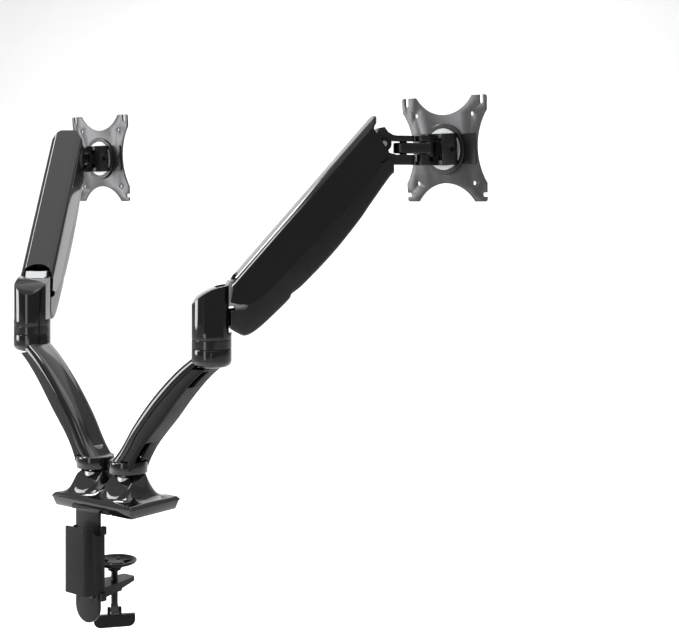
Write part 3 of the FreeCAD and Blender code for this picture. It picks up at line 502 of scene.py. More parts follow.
def clamp_disc():
    """Dished pressure disc with a rolled rim and six ribs, open in the middle for the screw's rivet."""
    low = DISC_TOP - 9.0
    profile = [(5.4, low), (8.2, low), (9.4, low + 0.5), (11.0, low + 1.7), (16.0, low + 3.3),
               (21.5, DISC_TOP - 3.9), (23.4, DISC_TOP - 3.1), (24.25, DISC_TOP - 2.2),
               (24.4, DISC_TOP - 1.2), (24.1, DISC_TOP - 0.35), (23.3, DISC_TOP), (22.4, DISC_TOP),
               (21.4, DISC_TOP - 0.5), (19.0, DISC_TOP - 2.2), (14.0, DISC_TOP - 3.6),
               (10.6, DISC_TOP - 4.3), (9.2, DISC_TOP - 4.45), (5.4, DISC_TOP - 4.4)]
    disc = lathe(profile, (0, SCREW_Y, 0), count=96, closed=True)
    for i in range(6):
        a = math.radians(60 * i)
        rib = block(10.5, 20.5, -0.9, 0.9, DISC_TOP - 4.6, DISC_TOP - 1.9)
        rib.data.transform(Matrix.Rotation(a, 4, "Z"))
        rib.data.transform(Matrix.Translation((0, SCREW_Y, 0)))
        add(disc, rib)
    return disc


def thread_rod(radius, depth, pitch, low, high, centre):
    """A rod with a real helical thread."""
    around = 40
    per_pitch = 5
    rows = []
    count = int((high - low) / pitch * per_pitch)
    for k in range(count + 1):
        z = low + (high - low) * k / count
        row = []
        for i in range(around):
            phase = (z / pitch - i / around) % 1.0
            tooth = abs(phase - 0.5) * 2
            fade = min(1.0, (z - low) / pitch, (high - z) / pitch)
            r = radius - depth * tooth * fade - 0.15 * (1 - fade)
            a = 2 * math.pi * i / around
            row.append((centre[0] + r * math.cos(a), centre[1] + r * math.sin(a), z))
        rows.append(row)
    return close_ends(sheet_grid(rows, close_v=True))


def clamp_screw():
    top = DISC_TOP - 2.2
    shaft = thread_rod(4.0, 0.62, 1.5, HANDLE_PIN_Z + 6, DISC_TOP - 11.5, (0, 0))
    head = lathe([(0, top), (7.0, top), (8.2, top - 0.5), (8.6, top - 1.2), (8.6, DISC_TOP - 4.3),
                  (5.3, DISC_TOP - 4.3), (5.3, DISC_TOP - 9.05), (7.2, DISC_TOP - 9.1),
                  (7.2, DISC_TOP - 11.2), (6.6, DISC_TOP - 11.6),
                  (3.6, DISC_TOP - 11.6), (0, DISC_TOP - 11.6)], count=64)
    round_foot = [(y, HANDLE_PIN_Z + z) for y, z in arc(0, 0, 4.2, 180, 360, 16)]
    foot = prism(round_foot + [(4.2, HANDLE_PIN_Z + 6.2), (-4.2, HANDLE_PIN_Z + 6.2)], -4.0, 4.0, "x")
    bevel(foot, 0.6, 3, 40)
    cut(foot, rod(HANDLE_BORE, -8, 8, (0, HANDLE_PIN_Z), "x", count=32))
    return shaft, head, foot


def clamp_handle():
    top, bottom = HANDLE_PIN_Z - 5.0, HANDLE_PIN_Z - 18.5
    outline = [(-22.4, top), (22.4, top - 0.4)] + arc(22.6 - 7.5, bottom + 7.6, 7.5, 0, -90, 8)
    outline += arc(-22.4 + 7.5, bottom + 7.5, 7.5, -90, -180, 8)
    blade = prism(outline, -3.2, 3.2)
    for side in (1, -1):
        a, b = sorted((side * 4.4, side * 7.6))
        ear = [(-3.4, top - 2.5), (3.4, top - 2.5)] + arc(0, HANDLE_PIN_Z, 3.4, 0, 180, 12)
        add(blade, prism(ear, a, b, "x"))
    cut(blade, rod(HANDLE_BORE, -9, 9, (0, HANDLE_PIN_Z), "x", count=32))
    return bevel(blade, 0.8, 3, 32)


def make_base():
    cover = base_shell()
    rim = base_rim()
    finish_piece(cover, "base_cover_flare", HERE, "base", "gloss_shell", "base_cover", sharp=50)
    finish_piece(rim, "base_cover_rim", HERE, "base", "gloss_shell", "base_cover", sharp=40)
    finish_piece(clamp_bracket(), "clamp_upright", HERE, "base", "satin_steel", "clamp_bracket")
    finish_piece(lower_jaw(), "clamp_lower_jaw", HERE, "base", "satin_steel", "lower_jaw")
    finish_piece(cable_clip(), "clamp_cable_clip", HERE, "base", "matte_plastic", "cable_clip", sharp=40)
    finish_piece(clamp_disc(), "clamp_pressure_disc", HERE, "clamp_pad", "satin_steel", "clamp_pad",
                 sharp=40)
    turned = Place(0, SCREW_Y, 51.0)
    shaft, head, foot = clamp_screw()
    finish_piece(shaft, "clamp_screw_thread", turned, "clamp_screw", "black_thread", "clamp_screw", sharp=60)
    finish_piece(head, "clamp_screw_rivet", turned, "clamp_screw", "satin_steel", "clamp_screw")
    finish_piece(foot, "clamp_screw_foot", turned, "clamp_screw", "black_thread", "clamp_screw")
    pin = rod(1.5, -7.8, 7.8, (0, HANDLE_PIN_Z), "x", chamfer=0.4)
    finish_piece(pin, "clamp_handle_pin", turned, "clamp_screw", "dark_screws", "handle_pin")
    finish_piece(clamp_handle(), "clamp_wing_handle", turned, "clamp_handle", "matte_plastic",
                 "clamp_handle")


# ================================================================ lower arm
LOWER_REACH = 110.6
CROWN = ((-17, 52), (-2, 70), (16, 97), (36, 122), (56, 143), (75, 160), (93, 173), (112, 186))
UNDER = ((15, 45), (21, 58), (33, 76), (57, 103), (77, 127), (96, 147), (114, 162), (131, 174))
ARM_HALF = 17.5
CROWN_DROP = 13.0
COLLAR_Z = 41.9
CUP_TOP = 181.9
RING_TOP = 191.5
HUB_R = 21.0
CABLE_WINDOWS = ((27.5, 66.5, 57.0), (100.0, 149.5, 43.7))
WINDOW_Y = (-14.0, -3.0)


def arm_stations(count=60):
    """Points along the crown, with the direction and distance to the underside."""
    both = [(*c, *u) for c, u in zip(CROWN, UNDER)]
    for cx, cz, ux, uz in smooth_curve(both, count):
        total = math.hypot(ux - cx, uz - cz)
        yield cx, cz, (ux - cx) / total, (uz - cz) / total, total


def crown_body():
    """Closed loft of the lower arm's arched casting."""
    steps = 32
    square = 2 / 2.9
    rows = []
    for cx, cz, dx, dz, _ in arm_stations():
        section = []
        for i in range(steps + 1):
            a = math.pi * i / steps
            c, s = math.cos(a), math.sin(a)
            section.append((-ARM_HALF * math.copysign(abs(c) ** square, c), CROWN_DROP * (1 - s ** square)))
        section += [(ARM_HALF, CROWN_DROP + 0.05), (-ARM_HALF, CROWN_DROP + 0.05)]
        rows.append([(cx + dx * d, y, cz + dz * d) for y, d in section])
    return close_ends(sheet_grid(rows, close_v=True))


def lower_arm_pieces(place, S):
    arch = crown_body()
    combine(arch, block(-60, 180, -40, 40, COLLAR_Z, CUP_TOP), "INTERSECT")
    hub = lathe([(0, COLLAR_Z), (HUB_R - 0.8, COLLAR_Z), (HUB_R, COLLAR_Z + 0.8), (HUB_R, 53.0),
                 (HUB_R - 0.5, 54.8), (HUB_R - 1.8, 55.8), (HUB_R - 3.4, 56.0), (0, 56.0)], count=96)
    cup_profile = [(0, 163)] + arc(HUB_R - 7, 170, 7, -90, 0, 10)
    cup_profile += [(HUB_R, CUP_TOP - 0.5), (HUB_R - 0.5, CUP_TOP), (0, CUP_TOP)]
    cup = lathe(cup_profile, (LOWER_REACH, 0, 0), count=96)
    add(arch, hub, cup)
    bevel(arch, 0.6, 3, 38)
    finish_piece(arch, "lower_arm_casting" + S, place, "lower_arm" + S, "gloss_metal",
                 "lower_arm_beam" + S, sharp=34)
    skirt = channel_body()
    combine(skirt, block(-60, 180, -40, 40, COLLAR_Z + 0.4, CUP_TOP - 0.6), "INTERSECT")
    cut(skirt, rod(HUB_R + 0.3, 20, 57, (0, 0), count=96),
        rod(HUB_R + 0.3, 161, 200, (LOWER_REACH, 0), count=96))
    for x, z, slope in CABLE_WINDOWS:
        window = bevel(block(-14, 14, *WINDOW_Y, -5, 5), 2.0, 3, 40)
        window.data.transform(Matrix.Rotation(math.radians(-slope), 4, "Y"))
        window.data.transform(Matrix.Translation((x, 0, z)))
        cut(skirt, window)
    keep_largest(skirt)
    bevel(skirt, 0.5, 2, 40)
    finish_piece(skirt, "lower_arm_cable_channel" + S, place, "lower_arm" + S, "matte_plastic",
                 "lower_arm_cable_cover" + S, sharp=36)
    soft = 0.35
    ring = lathe([(7.05, CUP_TOP + 0.2), (HUB_R - soft, CUP_TOP + 0.2), (HUB_R, CUP_TOP + 0.2 + soft),
                  (HUB_R, RING_TOP - soft), (HUB_R - soft, RING_TOP), (7.05, RING_TOP)],
                 (LOWER_REACH, 0, 0), count=96, closed=True)
    finish_piece(ring, "elbow_spacer_ring" + S, place, "lower_arm" + S, "gloss_shell", "elbow_ring" + S)


def channel_body():
    """U-shaped channel under the crown, as a closed loft."""
    wall, corner = 2.2, 4.0
    wide = ARM_HALF - 0.7
    rows = []
    top = CROWN_DROP + 0.25
    for cx, cz, dx, dz, total in arm_stations():
        outer = [(wide, top)] + arc(wide - corner, total - corner, corner, 0, 90, 8)
        outer += arc(-wide + corner, total - corner, corner, 90, 180, 8) + [(-wide, top)]
        inner = [(-wide + wall, top)] + arc(-wide + corner, total - corner, corner - wall, 180, 90, 8)
        inner += arc(wide - corner, total - corner, corner - wall, 90, 0, 8) + [(wide - wall, top)]
        rows.append([(cx + dx * d, y, cz + dz * d) for y, d in outer + inner])
    body = sheet_grid(rows, close_v=True)
    return close_ends(body)


def keep_largest(obj):
    """Drop loose crumbs that a cut leaves behind."""
    with open_mesh(obj) as bm:
        bm.verts.ensure_lookup_table()
        seen, groups = set(), []
        for v in bm.verts:
            if v.index in seen:
                continue
            group, todo = [], [v]
            seen.add(v.index)
            while todo:
                w = todo.pop()
                group.append(w)
                for e in w.link_edges:
                    o = e.other_vert(w)
                    if o.index not in seen:
                        seen.add(o.index)
                        todo.append(o)
            groups.append(group)
        groups.sort(key=len)
        bmesh.ops.delete(bm, geom=[v for g in groups[:-1] for v in g], context="VERTS")
    return obj


# ================================================================ elbow yoke
YOKE_Z = 191.9
YOKE_FLAT = 18.3
YOKE_FRONT = 16.6


def yoke_pieces(place, S):
    outline = []
    steps = 96
    for i in range(steps):
        a = 2 * math.pi * i / steps
        x, y = HUB_R * math.cos(a), HUB_R * math.sin(a)
        outline.append((min(x, YOKE_FRONT), max(-YOKE_FLAT, min(YOKE_FLAT, y))))
    plan = []
    for p in outline:
        if not plan or math.dist(p, plan[-1]) > 0.05:
            plan.append(p)
    tower = prism(plan, 197.0, 252, "z")
    roof = smooth_curve([(-21.0, 228.0), (-17, 233.4), (-12, 238), (-3, 243.2), (6, 246.4), (14, 248),
                         (21, 248.6)], 30)
    slope = prism([(-30, 190), (-30, 226)] + roof + [(30, 248.8), (30, 190)], -30, 30)
    combine(tower, slope, "INTERSECT")
    add(tower, rod(HUB_R, YOKE_Z, 199.0, count=96))
    inside = prism([(-12.6, 195), (11.5, 195), (11.5, 200), (24, 200), (24, 262), (4, 262), (4, 240.2),
                    (-2, 237.4), (-12.6, 231.0)], -12.6, 12.6)
    cut(tower, inside, rod(7.05, 180, 200))
    bevel(tower, 0.6, 4, 30)
    finish_piece(tower, "elbow_housing" + S, place, "yoke" + S, "gloss_shell", "yoke_cover" + S, sharp=34)


# ================================================================ upper arm
YOKE_PIVOT = (35.0, 236.0)
FORK_PIVOT = (181.0, 396.0)
PIN_GAP = 26.0
TAU = math.atan2(FORK_PIVOT[1] - YOKE_PIVOT[1], FORK_PIVOT[0] - YOKE_PIVOT[0])
COVER_HALF = 19.5
SEAM = ((184.5, 388), (171, 367.5), (133, 322), (95, 282), (54, 240), (40, 231), (29, 228.5), (17.5, 231))
BELLY = ((18.4, 203), (25, 199), (34, 196), (48, 204), (69, 223), (80, 234), (82, 238.5), (95, 249),
         (127, 282), (154, 315), (166, 332), (187, 361), (191.5, 365), (191.5, 374))
SHELL_HALF = 17.3


def along(distance, rise, start=YOKE_PIVOT):
    return (start[0] + distance * math.cos(TAU) - rise * math.sin(TAU),
            start[1] + distance * math.sin(TAU) + rise * math.cos(TAU))


def to_line(x, z):
    """(distance, rise) of a side-view point."""
    dx, dz = x - YOKE_PIVOT[0], z - YOKE_PIVOT[1]
    return (dx * math.cos(TAU) + dz * math.sin(TAU), -dx * math.sin(TAU) + dz * math.cos(TAU))


def roof_rise(distance):
    return 22.92 + 0.0171 * distance


def chain(points, count):
    """Straight segments, sampled evenly."""
    p = np.array(points, float)
    length = np.concatenate([[0], np.cumsum(np.linalg.norm(np.diff(p, axis=0), axis=1))])
    want = np.linspace(0, length[-1], count)
    return [tuple(float(np.interp(w, length, p[:, k])) for k in range(2)) for w in want]


def upper_cover():
    """Channel-shaped cover: flat top, chamfered shoulders, deep sides, arched lower mouth."""
    shoulder = [(0, 0), (4.5, 0), (9.0, 0), (12.6, 0.0), (13.7, 0.10), (14.6, 0.42), (18.3, 3.35),
                (18.95, 4.0), (19.3, 4.6), (19.5, 5.5)]
    levels = 7
    stations = 46
    seam_line = [to_line(x, z) for x, z in smooth_curve(SEAM[::-1], 80)]
    seam_d = [p[0] for p in seam_line]
    order = np.argsort(seam_d)
    seam_d = np.array(seam_d)[order]
    seam_r = np.array([p[1] for p in seam_line])[order]
    first_d = to_line(17.4, 250.0)[0]
    mouth_low = to_line(17.5, 231)
    tip_low = to_line(184.5, 388)

    def start_of(y):
        arch = max(0.0, 1 - (y / 17.9) ** 2)
        return first_d - 1.0 + 15.5 * math.sqrt(arch)

    def end_of(y):
        return 232.7 - 1.4 * max(0.0, y - 10.5)

    columns = []
    for y, drop in shoulder:
        a, b = start_of(y), end_of(y)
        column = []
        for k in range(stations):
            d = a + (b - a) * k / (stations - 1)
            x, z = along(d, roof_rise(d) - drop)
            column.append((x, y, z))
        columns.append(column)
    # the sides run down to the seam
    low = []
    for k in range(stations):
        t = k / (stations - 1)
        if t < 0.0001:
            d, r = mouth_low
        elif t > 0.9999:
            d, r = tip_low
        else:
            d = mouth_low[0] + (tip_low[0] - mouth_low[0]) * t
            r = float(np.interp(d, seam_d, seam_r))
        low.append(along(d, r))
    top = columns[-1]
    for j in range(1, levels + 1):
        f = j / levels
        columns.append([(top[k][0] + (low[k][0] - top[k][0]) * f, COVER_HALF,
                         top[k][2] + (low[k][1] - top[k][2]) * f) for k in range(stations)])
    left = [[(x, -y, z) for x, y, z in c] for c in columns[:0:-1]]
    rows = left + columns
    shell = sheet_grid(rows)
    # lip that turns down at the head end
    lip = []
    for c in rows:
        x, y, z = c[-1]
        if abs(y) < 18.9:
            lip.append([(x, y, z), (x + 0.9, y, z - 0.5), (x + 1.6, y, z - 1.4), (x + 1.9, y, z - 2.6),
                        (x + 1.9, y * 0.995, z - 7.5)])
    extra = sheet_grid(lip)
    with open_mesh(shell) as bm:
        bm.from_mesh(extra.data)
        bmesh.ops.remove_doubles(bm, verts=bm.verts, dist=0.01)
        bmesh.ops.recalc_face_normals(bm, faces=bm.faces)
        highest = max(bm.faces, key=lambda f: f.calc_center_median().z)
        if highest.normal.z < 0:
            bmesh.ops.reverse_faces(bm, faces=bm.faces)
    bpy.data.objects.remove(extra)
    return thicken(shell, 1.9, even=True)


def lower_link_shell():
    """Dished shell under the arm, with a stepped rib near the elbow."""
    line = smooth_curve(BELLY, 90)
    start = (YOKE_PIVOT[0], YOKE_PIVOT[1] - PIN_GAP)
    end = (FORK_PIVOT[0], FORK_PIVOT[1] - PIN_GAP)
    reach = math.hypot(end[0] - start[0], end[1] - start[1])
    top = [(18.4, start[1] + 12), (start[0] - 8, start[1] + 13), along(10, 9, start), along(24, 14, start),
           along(reach - 26, 14, start), along(reach - 8, 9, start), (end[0] + 6, end[1] + 10)]
    rim = chain(top, 90)
    rows = []
    for (bx, bz), (tx, tz) in zip(line, rim):
        length = math.hypot(tx - bx, tz - bz)
        ux, uz = (tx - bx) / length, (tz - bz) / length
        r = min(3.2, length * 0.3)
        row = [(bx, y, bz) for y in (0.0, 5.0, 10.0)]
        for i in range(7):
            a = math.radians(90 * i / 6)
            y = SHELL_HALF - r + r * math.sin(a)
            d = r - r * math.cos(a)
            row.append((bx + ux * d, y, bz + uz * d))
        for f in (0.35, 0.6, 0.8, 1.0):
            d = r + (length - r) * f
            row.append((bx + ux * d, SHELL_HALF, bz + uz * d))
        rows.append([(x, -y, z) for x, y, z in row[:0:-1]] + row)
    shell = sheet_grid(rows)
    with open_mesh(shell) as bm:
        lowest = min(bm.faces, key=lambda f: f.calc_center_median().z)
        if lowest.normal.z > 0:
            bmesh.ops.reverse_faces(bm, faces=bm.faces)
    thicken(shell, 1.6, even=True)
    for x, z in (start, end):
        for side in (1, -1):
            a, b = sorted((side * 12.8, side * (SHELL_HALF - 0.9)))
            add(shell, rod(6.0, a, b, (x, z), "y"))
        cut(shell, rod(PIN_HOLE, -15.5, 15.5, (x, z), "y", count=32))
    return shell


def upper_arm_pieces(place, S):
    cover = upper_cover()
    finish_piece(cover, "upper_arm_shell" + S, place, "upper_arm" + S, "gloss_shell",
                 "upper_arm_cover" + S, sharp=40)
    shell = lower_link_shell()
    finish_piece(shell, "upper_arm_lower_shell" + S, place, "lower_link" + S, "satin_black",
                 "lower_arm_link" + S, sharp=36)


# ================================================================ fork, link and head
PIN_ONE = 205.0
PIN_HOLE = 3.05
SWIVEL_HOLE = 4.05
PIN_BOTTOM = 376.8
GROOVE_Z = (391.3, 392.5)
UPPER_EAR = (399.1, 405.0)
LOWER_EAR = (374.0, 384.7)
EAR_END = 12.3
LINK_Z = (386.3, 397.5)
LINK_END = 10.7
LINK_REACH = 22.4
HEAD_Z = 391.5
HEAD_EARS = ((399.1, 405.3), (373.4, 385.6))
HEAD_EAR_HALF = 9.5
FACE_REACH = 41.0
TILT_X = 28.0
BARREL_DEPTH = 15.0
BARREL_HALF = 19.5
BARREL_RISE = 17.2
BARREL_FRONT = FACE_REACH - 6.1
BARREL_SLOT = 8.4
TONGUE_END = 6.5
WEB_END = 16.6
WEB_HALF = 8.0
NARROW_FROM = 11.5
TILT_AT_REST = 3.6


def stadium(x0, x1, r, steps=20):
    return arc(x1, 0, r, -90, 90, steps) + arc(x0, 0, r, 90, 270, steps)


def fork_piece(place, S):
    x, z = FORK_PIVOT
    low = z - PIN_GAP
    cheek = prism([(x - 6, low - 5), (x + 4, low - 6), (x + 9, low + 2), (x + 11, LOWER_EAR[0]),
                   (x + 14, LOWER_EAR[0]), (x + 14, LOWER_EAR[1]), (x + 6, LOWER_EAR[1] + 2),
                   (x + 5, LOWER_EAR[1] + 5), (x + 7, UPPER_EAR[0]), (x + 14, UPPER_EAR[0]),
                   (x + 14, UPPER_EAR[1]), (x + 10, UPPER_EAR[1] + 0.8), (x + 5, UPPER_EAR[1] + 3.6),
                   (x + 1, UPPER_EAR[1] + 9), (x - 4, UPPER_EAR[1] + 8), (x - 8, z + 4), (x - 8, z - 4),
                   (x - 5, z - 9), (x - 5, low + 8), (x - 7, low + 4)], -12.2, 12.2)
    for z0, z1 in (UPPER_EAR, LOWER_EAR):
        ear = [(x + 8, -EAR_END)] + arc(PIN_ONE, 0, EAR_END, -90, 90, 28) + [(x + 8, EAR_END)]
        add(cheek, prism(ear, z0, z1, "z"))
    cut(cheek, rod(SWIVEL_HOLE, 376.5, 410, (PIN_ONE, 0), count=40))
    for height in (z, low):
        cut(cheek, rod(PIN_HOLE, -20, 20, (x, height), "y", count=32))
    bevel(cheek, 0.7, 3, 32)
    finish_piece(cheek, "upper_arm_fork" + S, place, "fork" + S, "satin_black", "arm_fork" + S)
    pin = lathe([(0, PIN_BOTTOM), (4, PIN_BOTTOM), (4, 404.0), (3.4, 404.4), (2.2, 404.4),
                 (2.0, 403.4), (0, 403.4)],
                (PIN_ONE, 0, 0), count=48)
    finish_piece(pin, "fork_swivel_pin" + S, place, "fork" + S, "dark_screws", "link_pin" + S)


def link_piece(place, S):
    link = prism(stadium(0, LINK_REACH, LINK_END), *LINK_Z, "z")
    for x in (0, LINK_REACH):
        cut(link, rod(SWIVEL_HOLE, 380, 400, (x, 0), count=40))
    bevel(link, 1.1, 4, 32)
    # a shallow moulded waist line along each flank
    for side in (1, -1):
        a, b = sorted((side * (LINK_END - 0.35), side * (LINK_END + 2)))
        cut(link, block(2, LINK_REACH - 2, a, b, *GROOVE_Z))
    finish_piece(link, "swivel_link_arm" + S, place, "link" + S, "satin_black", "swivel_link" + S)


def knuckle_piece(place, S):
    """Two ears round the link, a web, and a tongue that reaches into the tilt barrel."""
    half = HEAD_EAR_HALF
    low, low_top = HEAD_EARS[1]
    body = block(13.5, WEB_END, -WEB_HALF, WEB_HALF, low + 0.4, HEAD_EARS[0][1])
    tongue = [(14, HEAD_Z - TONGUE_END)] + arc(TILT_X, HEAD_Z, TONGUE_END, -90, 90, 20)
    add(body, prism(tongue + [(14, HEAD_Z + TONGUE_END)], -WEB_HALF + 0.1, WEB_HALF - 0.1))
    for z0, z1 in (HEAD_EARS[0], (low + 0.4, low + 4.4)):
        ear = [(NARROW_FROM, -half), (WEB_END - 0.1, -WEB_HALF + 0.1), (WEB_END - 0.1, WEB_HALF - 0.1),
               (NARROW_FROM, half)] + arc(0, 0, half, 90, 270, 28)
        add(body, prism(ear, z0, z1, "z"))
    add(body, rod(7.6, low + 4.0, low_top, count=56))
    add(body, block(9.5, 14.0, -6.5, 6.5, low + 4.0, low_top - 2.5))
    cut(body, rod(PIN_HOLE, -30, 30, (TILT_X, HEAD_Z), "y", count=32),
        rod(SWIVEL_HOLE, 372, 410, count=40))
    bevel(body, 0.7, 3, 32)
    finish_piece(body, "head_knuckle_casting" + S, place, "knuckle" + S, "satin_black", "head_knuckle" + S)
    top = HEAD_EARS[0][1] - 0.5
    pin = lathe([(0, PIN_BOTTOM), (4, PIN_BOTTOM), (4, top - 0.4), (3.4, top), (2.3, top), (2.1, top - 1.0),
                 (0, top - 1.0)], count=48)
    finish_piece(pin, "head_swivel_pin" + S, place, "knuckle" + S, "dark_screws", "head_pin" + S)


def leaned(obj):
    about = Matrix.Translation((TILT_X, 0, HEAD_Z))
    obj.data.transform(about @ Matrix.Rotation(math.radians(-TILT_AT_REST), 4, "Y") @ about.inverted())
    return obj


def tilt_pieces(place, S):
    front, back = FACE_REACH - 2.8, FACE_REACH - 6.0
    disc = lathe([(0, back), (22.2, back), (22.7, back + 0.4), (22.7, FACE_REACH - 4.4),
                  (24.5, FACE_REACH - 4.2), (24.9, FACE_REACH - 3.9),
                  (24.9, front - 0.3), (24.6, front), (0, front)],
                 (0, 0, HEAD_Z), "x", count=120)
    finish_piece(leaned(disc), "tilt_hub_disc" + S, place, "tilt_head" + S, "cast_metal", "tilt_bracket" + S)
    outline = [(BARREL_FRONT, BARREL_HALF), (BARREL_FRONT, -BARREL_HALF)]
    for i in range(1, 48):
        turn = math.radians(-90 - 3.75 * i)
        outline.append((BARREL_FRONT + BARREL_DEPTH * math.cos(turn), BARREL_HALF * math.sin(turn)))
    barrel = prism(outline, HEAD_Z - BARREL_RISE, HEAD_Z + BARREL_RISE, "z")
    cut(barrel, block(0, TILT_X, -BARREL_SLOT, BARREL_SLOT, HEAD_Z - 20, HEAD_Z + 20),
        block(TILT_X - 0.5, BARREL_FRONT + 1, -BARREL_SLOT, BARREL_SLOT, HEAD_Z - 12, HEAD_Z + 12),
        rod(PIN_HOLE, -30, 30, (TILT_X, HEAD_Z), "y", count=32))
    bevel(barrel, 1.5, 4, 40)
    finish_piece(leaned(barrel), "tilt_barrel_housing" + S, place, "tilt_head" + S, "satin_black",
                 "tilt_barrel" + S)
    bolt = lathe([(0, -15.6), (1.6, -15.6), (1.8, -16.5), (2.7, -16.5), (3, -16.2), (3, 16.2), (2.7, 16.5),
                  (1.8, 16.5), (1.6, 15.6), (0, 15.6)], (TILT_X, 0, HEAD_Z), "y", count=48)
    finish_piece(leaned(bolt), "tilt_pivot_bolt" + S, place, "tilt_head" + S, "dark_screws",
                 "tilt_bolt" + S)


PLATE_HALF = 57.5
TOP_HALF = 56.5
FOOT_HALF = 53.0
PLATE_THICK = 2.4
WAIST_HALF = 42.5
ARC_DEPTH = 37.5
END_ARC = 46.0
SIDE_ARC = 69.0
SMALL_PATTERN = 37.5
LARGE_PATTERN = 50.0
SCREW_HOLE = 2.3
WING_INNER_R = 28.3
WING_TURN = 37.6


def plate_pieces(place, S):
    back = FACE_REACH - PLATE_THICK
    corner = 2.5
    outline = arc(TOP_HALF - corner, HEAD_Z + PLATE_HALF - corner, corner, 0, 90, 6)
    outline += arc(-TOP_HALF + corner, HEAD_Z + PLATE_HALF - corner, corner, 90, 180, 6)
    outline += arc(-FOOT_HALF + corner, HEAD_Z - PLATE_HALF + corner, corner, 180, 270, 6)
    outline += arc(FOOT_HALF - corner, HEAD_Z - PLATE_HALF + corner, corner, 270, 360, 6)
    plate = prism(outline, back, FACE_REACH, "x")
    low, high = back - 1, FACE_REACH + 1
    for turn in (1, -1):
        cut(plate, rod(END_ARC, low, high, (0, HEAD_Z + turn * (ARC_DEPTH + END_ARC)), "x", count=160),
            rod(SIDE_ARC, low, high, (turn * (WAIST_HALF + SIDE_ARC), HEAD_Z), "x", count=200))
    for y in (-1, 1):
        for up in (-1, 1):
            for reach in (SMALL_PATTERN, LARGE_PATTERN):
                cut(plate, rod(SCREW_HOLE, low, high, (y * reach, HEAD_Z + up * reach), "x", count=28))
            if up == 1:
                middle = y * LARGE_PATTERN
                cut(plate, block(low, high, middle - SCREW_HOLE, middle + SCREW_HOLE,
                                 HEAD_Z + LARGE_PATTERN, HEAD_Z + PLATE_HALF + 1))
            else:
                inner, outer = sorted((y * LARGE_PATTERN, y * (PLATE_HALF + 1)))
                cut(plate, block(low, high, inner, outer, HEAD_Z - LARGE_PATTERN - SCREW_HOLE,
                                 HEAD_Z - LARGE_PATTERN + SCREW_HOLE))
    bevel(plate, 0.35, 2, 40)
    finish_piece(leaned(plate), "display_plate" + S, place, "plate" + S, "plate_steel", "vesa_plate" + S)
    ring = lathe([(23.0, back - 3.1), (23.3, back - 3.4), (27.0, back - 3.4), (27.8, back - 2.9),
                  (28.0, back - 2.1), (28.0, back - 0.05), (25.2, back - 0.05), (25.2, back - 2.1),
                  (23.0, back - 2.1)], (0, 0, HEAD_Z), "x", count=120, closed=True)
    finish_piece(leaned(ring), "hub_retaining_ring" + S, place, "plate" + S, "satin_black", "hub_ring" + S)
    for side in (1, -1):
        outline = []
        for f in range(17):
            a = math.radians(-WING_TURN + 2 * WING_TURN * f / 16)
            outline.append((side * WING_INNER_R * math.cos(a), HEAD_Z + WING_INNER_R * math.sin(a)))
        outline += [(side * 40.5, HEAD_Z + BARREL_RISE), (side * 42, HEAD_Z + BARREL_RISE - 1.5),
                    (side * 42, HEAD_Z - BARREL_RISE + 1.5), (side * 40.5, HEAD_Z - BARREL_RISE)]
        wing = prism(outline, back - 1.6, back - 0.05, "x")
        bevel(wing, 0.5, 2, 40)
        finish_piece(leaned(wing), "plate_stiffener_%s%s" % ("near" if side == 1 else "far", S), place,
                     "plate" + S, "satin_black", "plate_stiffeners" + S)


# ================================================================ assembly
ARMS = {
    "right": dict(base_x=26.0, lower=7.1, upper=48.6, link=48.9, head=86.9),
    "left": dict(base_x=-26.0, lower=178.35, upper=125.2, link=125.0, head=87.2),
}


def step_from(origin, reach, degrees):
    a = math.radians(degrees)
    return origin[0] + reach * math.cos(a), origin[1] + reach * math.sin(a)


def make_arm(side, rest):
    S = "_" + side
    boss = (rest["base_x"], 0.0)
    elbow = step_from(boss, LOWER_REACH, rest["lower"])
    pin_one = step_from(elbow, PIN_ONE, rest["upper"])
    pin_two = step_from(pin_one, LINK_REACH, rest["link"])
    lower_arm_pieces(Place(*boss, rest["lower"]), S)
    arm = Place(*elbow, rest["upper"])
    yoke_pieces(arm, S)
    upper_arm_pieces(arm, S)
    fork_piece(arm, S)
    link_piece(Place(*pin_one, rest["link"]), S)
    head = Place(*pin_two, rest["head"])
    knuckle_piece(head, S)
    tilt_pieces(head, S)
    plate_pieces(head, S)


make_base()
for side_name, rest_angles in ARMS.items():
    make_arm(side_name, rest_angles)

# CAD nodes that stay as they are get their finish and a softened edge
WELD_GAP = 0.00002
SOFT_EDGE = 0.0003
KEPT = {"base_casting": "cast_metal", "desk_pad": "pad_rubber", "base_bolts": "dark_screws",
        "jaw_bolts": "dark_screws"}
for side_name in ARMS:
    for node, finish_name in (("elbow_post", "plain_steel"), ("yoke_core", "cast_metal"),
                              ("yoke_pins", "plain_steel"), ("upper_arm_link", "satin_steel"),
                              ("gas_spring_cylinder", "satin_black"), ("gas_spring_rod", "plain_steel"),
                              ("fork_pins", "plain_steel")):
        KEPT[node + "_" + side_name] = finish_name
for node, finish_name in KEPT.items():
    obj = NODES[node]
    obj.data.materials.clear()
    obj.data.materials.append(MATERIALS[finish_name])
    weld = obj.modifiers.new("Weld", "WELD")
    weld.merge_threshold = WELD_GAP
    soft = obj.modifiers.new("Bevel", "BEVEL")
    soft.width = SOFT_EDGE
    soft.segments = 2
    soft.limit_method = "ANGLE"
    soft.angle_limit = math.radians(35)


# ================================================================ stage, light, camera
VIEW_TURN = 37.459
CENTRE = (0.0, 0.1, 0.2)


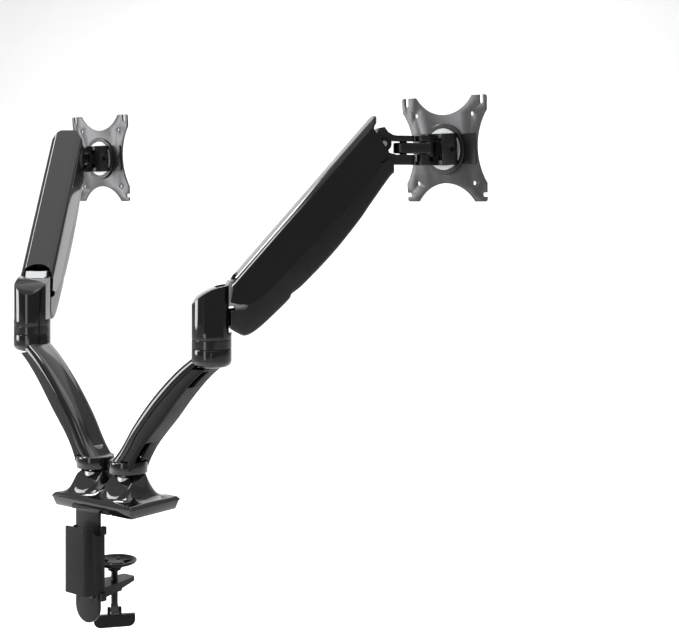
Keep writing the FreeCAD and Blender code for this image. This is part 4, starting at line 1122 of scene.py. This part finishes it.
def studio():
    white, tree, shader = new_material("StudioPaper")
    paper = noise(tree, 3.0, 3.0)
    tree.links.new(mixed(tree, paper, (0.86, 0.86, 0.86), (0.90, 0.90, 0.90)), shader.inputs["Base Color"])
    shader.inputs["Roughness"].default_value = 0.9
    floor_z, near, far, side, cove = -0.15, -3.0, 3.2, 5.0, 1.2
    profile = [(near, floor_z)] + arc(far - cove, floor_z + cove, cove, -90, 0, 15) + [(far, 4.5)]
    rows = []
    turn = math.radians(VIEW_TURN)
    for y, z in profile:
        rows.append([(x * math.cos(turn) - y * math.sin(turn), x * math.sin(turn) + y * math.cos(turn), z)
                     for x in (-side, side)])
    sweep = sheet_grid(rows, merge=0.0)
    sweep.name = "StudioSweep"
    sweep.data.materials.append(white)
    face_up(sweep)
    sweep.data.polygons.foreach_set("use_smooth", [True] * len(sweep.data.polygons))
    world = bpy.data.worlds.new("Studio")
    world.use_nodes = True
    tree = world.node_tree
    coords = tree.nodes.new("ShaderNodeTexCoord")
    split = tree.nodes.new("ShaderNodeSeparateXYZ")
    tree.links.new(coords.outputs["Generated"], split.inputs["Vector"])
    sky = spread(tree, split.outputs["Z"], 0.30, 0.95, 0.15, 0.85)
    tree.links.new(sky, tree.nodes["Background"].inputs["Strength"])
    tree.nodes["Background"].inputs["Color"].default_value = (1, 1, 1, 1)
    bpy.context.scene.world = world


def area_light(name, where, target, size, power, size_y=None):
    data = bpy.data.lights.new(name, "AREA")
    data.energy = power
    data.shape = "RECTANGLE"
    data.size = size
    data.size_y = size_y or size
    light = bpy.data.objects.new(name, data)
    light.location = where
    aim = Vector(target) - Vector(where)
    light.rotation_euler = aim.to_track_quat("-Z", "Y").to_euler()
    bpy.context.scene.collection.objects.link(light)


def toward(azimuth, elevation, distance):
    """A point seen from the object's middle in a compass direction, in degrees."""
    a, e = math.radians(azimuth), math.radians(elevation)
    flat = distance * math.cos(e)
    step = (flat * math.cos(a), flat * math.sin(a), distance * math.sin(e))
    return tuple(c + s for c, s in zip(CENTRE, step))


studio()
area_light("Overhead", (0.1, 0.3, 2.3), CENTRE, 2.6, 22)
area_light("KeyLeft", toward(-141, 12, 1.5), CENTRE, 0.55, 20, 0.9)
area_light("NearLeft", toward(-82, 8, 1.5), CENTRE, 0.3, 3, 0.9)
area_light("EdgeLeft", toward(-158, 48, 1.6), CENTRE, 0.5, 12, 0.3)
area_light("EdgeNear", toward(-112, 46, 1.6), CENTRE, 0.5, 10, 0.3)
area_light("FloorWash", (-0.9, 1.6, 1.5), (-0.6, 1.4, -0.15), 1.8, 26)
area_light("NearFloor", (0.6, -0.6, 1.6), (0.5, -0.4, -0.15), 1.2, 10)

camera_data = bpy.data.cameras.new("Camera")
camera_data.sensor_width = 36.0
camera_data.sensor_fit = "HORIZONTAL"
camera_data.lens = 71.48
camera_data.shift_y = -0.1726
camera_data.clip_start = 0.05
camera_data.clip_end = 30
camera = bpy.data.objects.new("Camera", camera_data)
camera.location = (1.09456, -1.01897, 0.33728)
camera.rotation_euler = (math.radians(90), 0, math.radians(VIEW_TURN))
bpy.context.scene.collection.objects.link(camera)
bpy.context.scene.camera = camera
bpy.context.scene.view_settings.view_transform = "Standard"
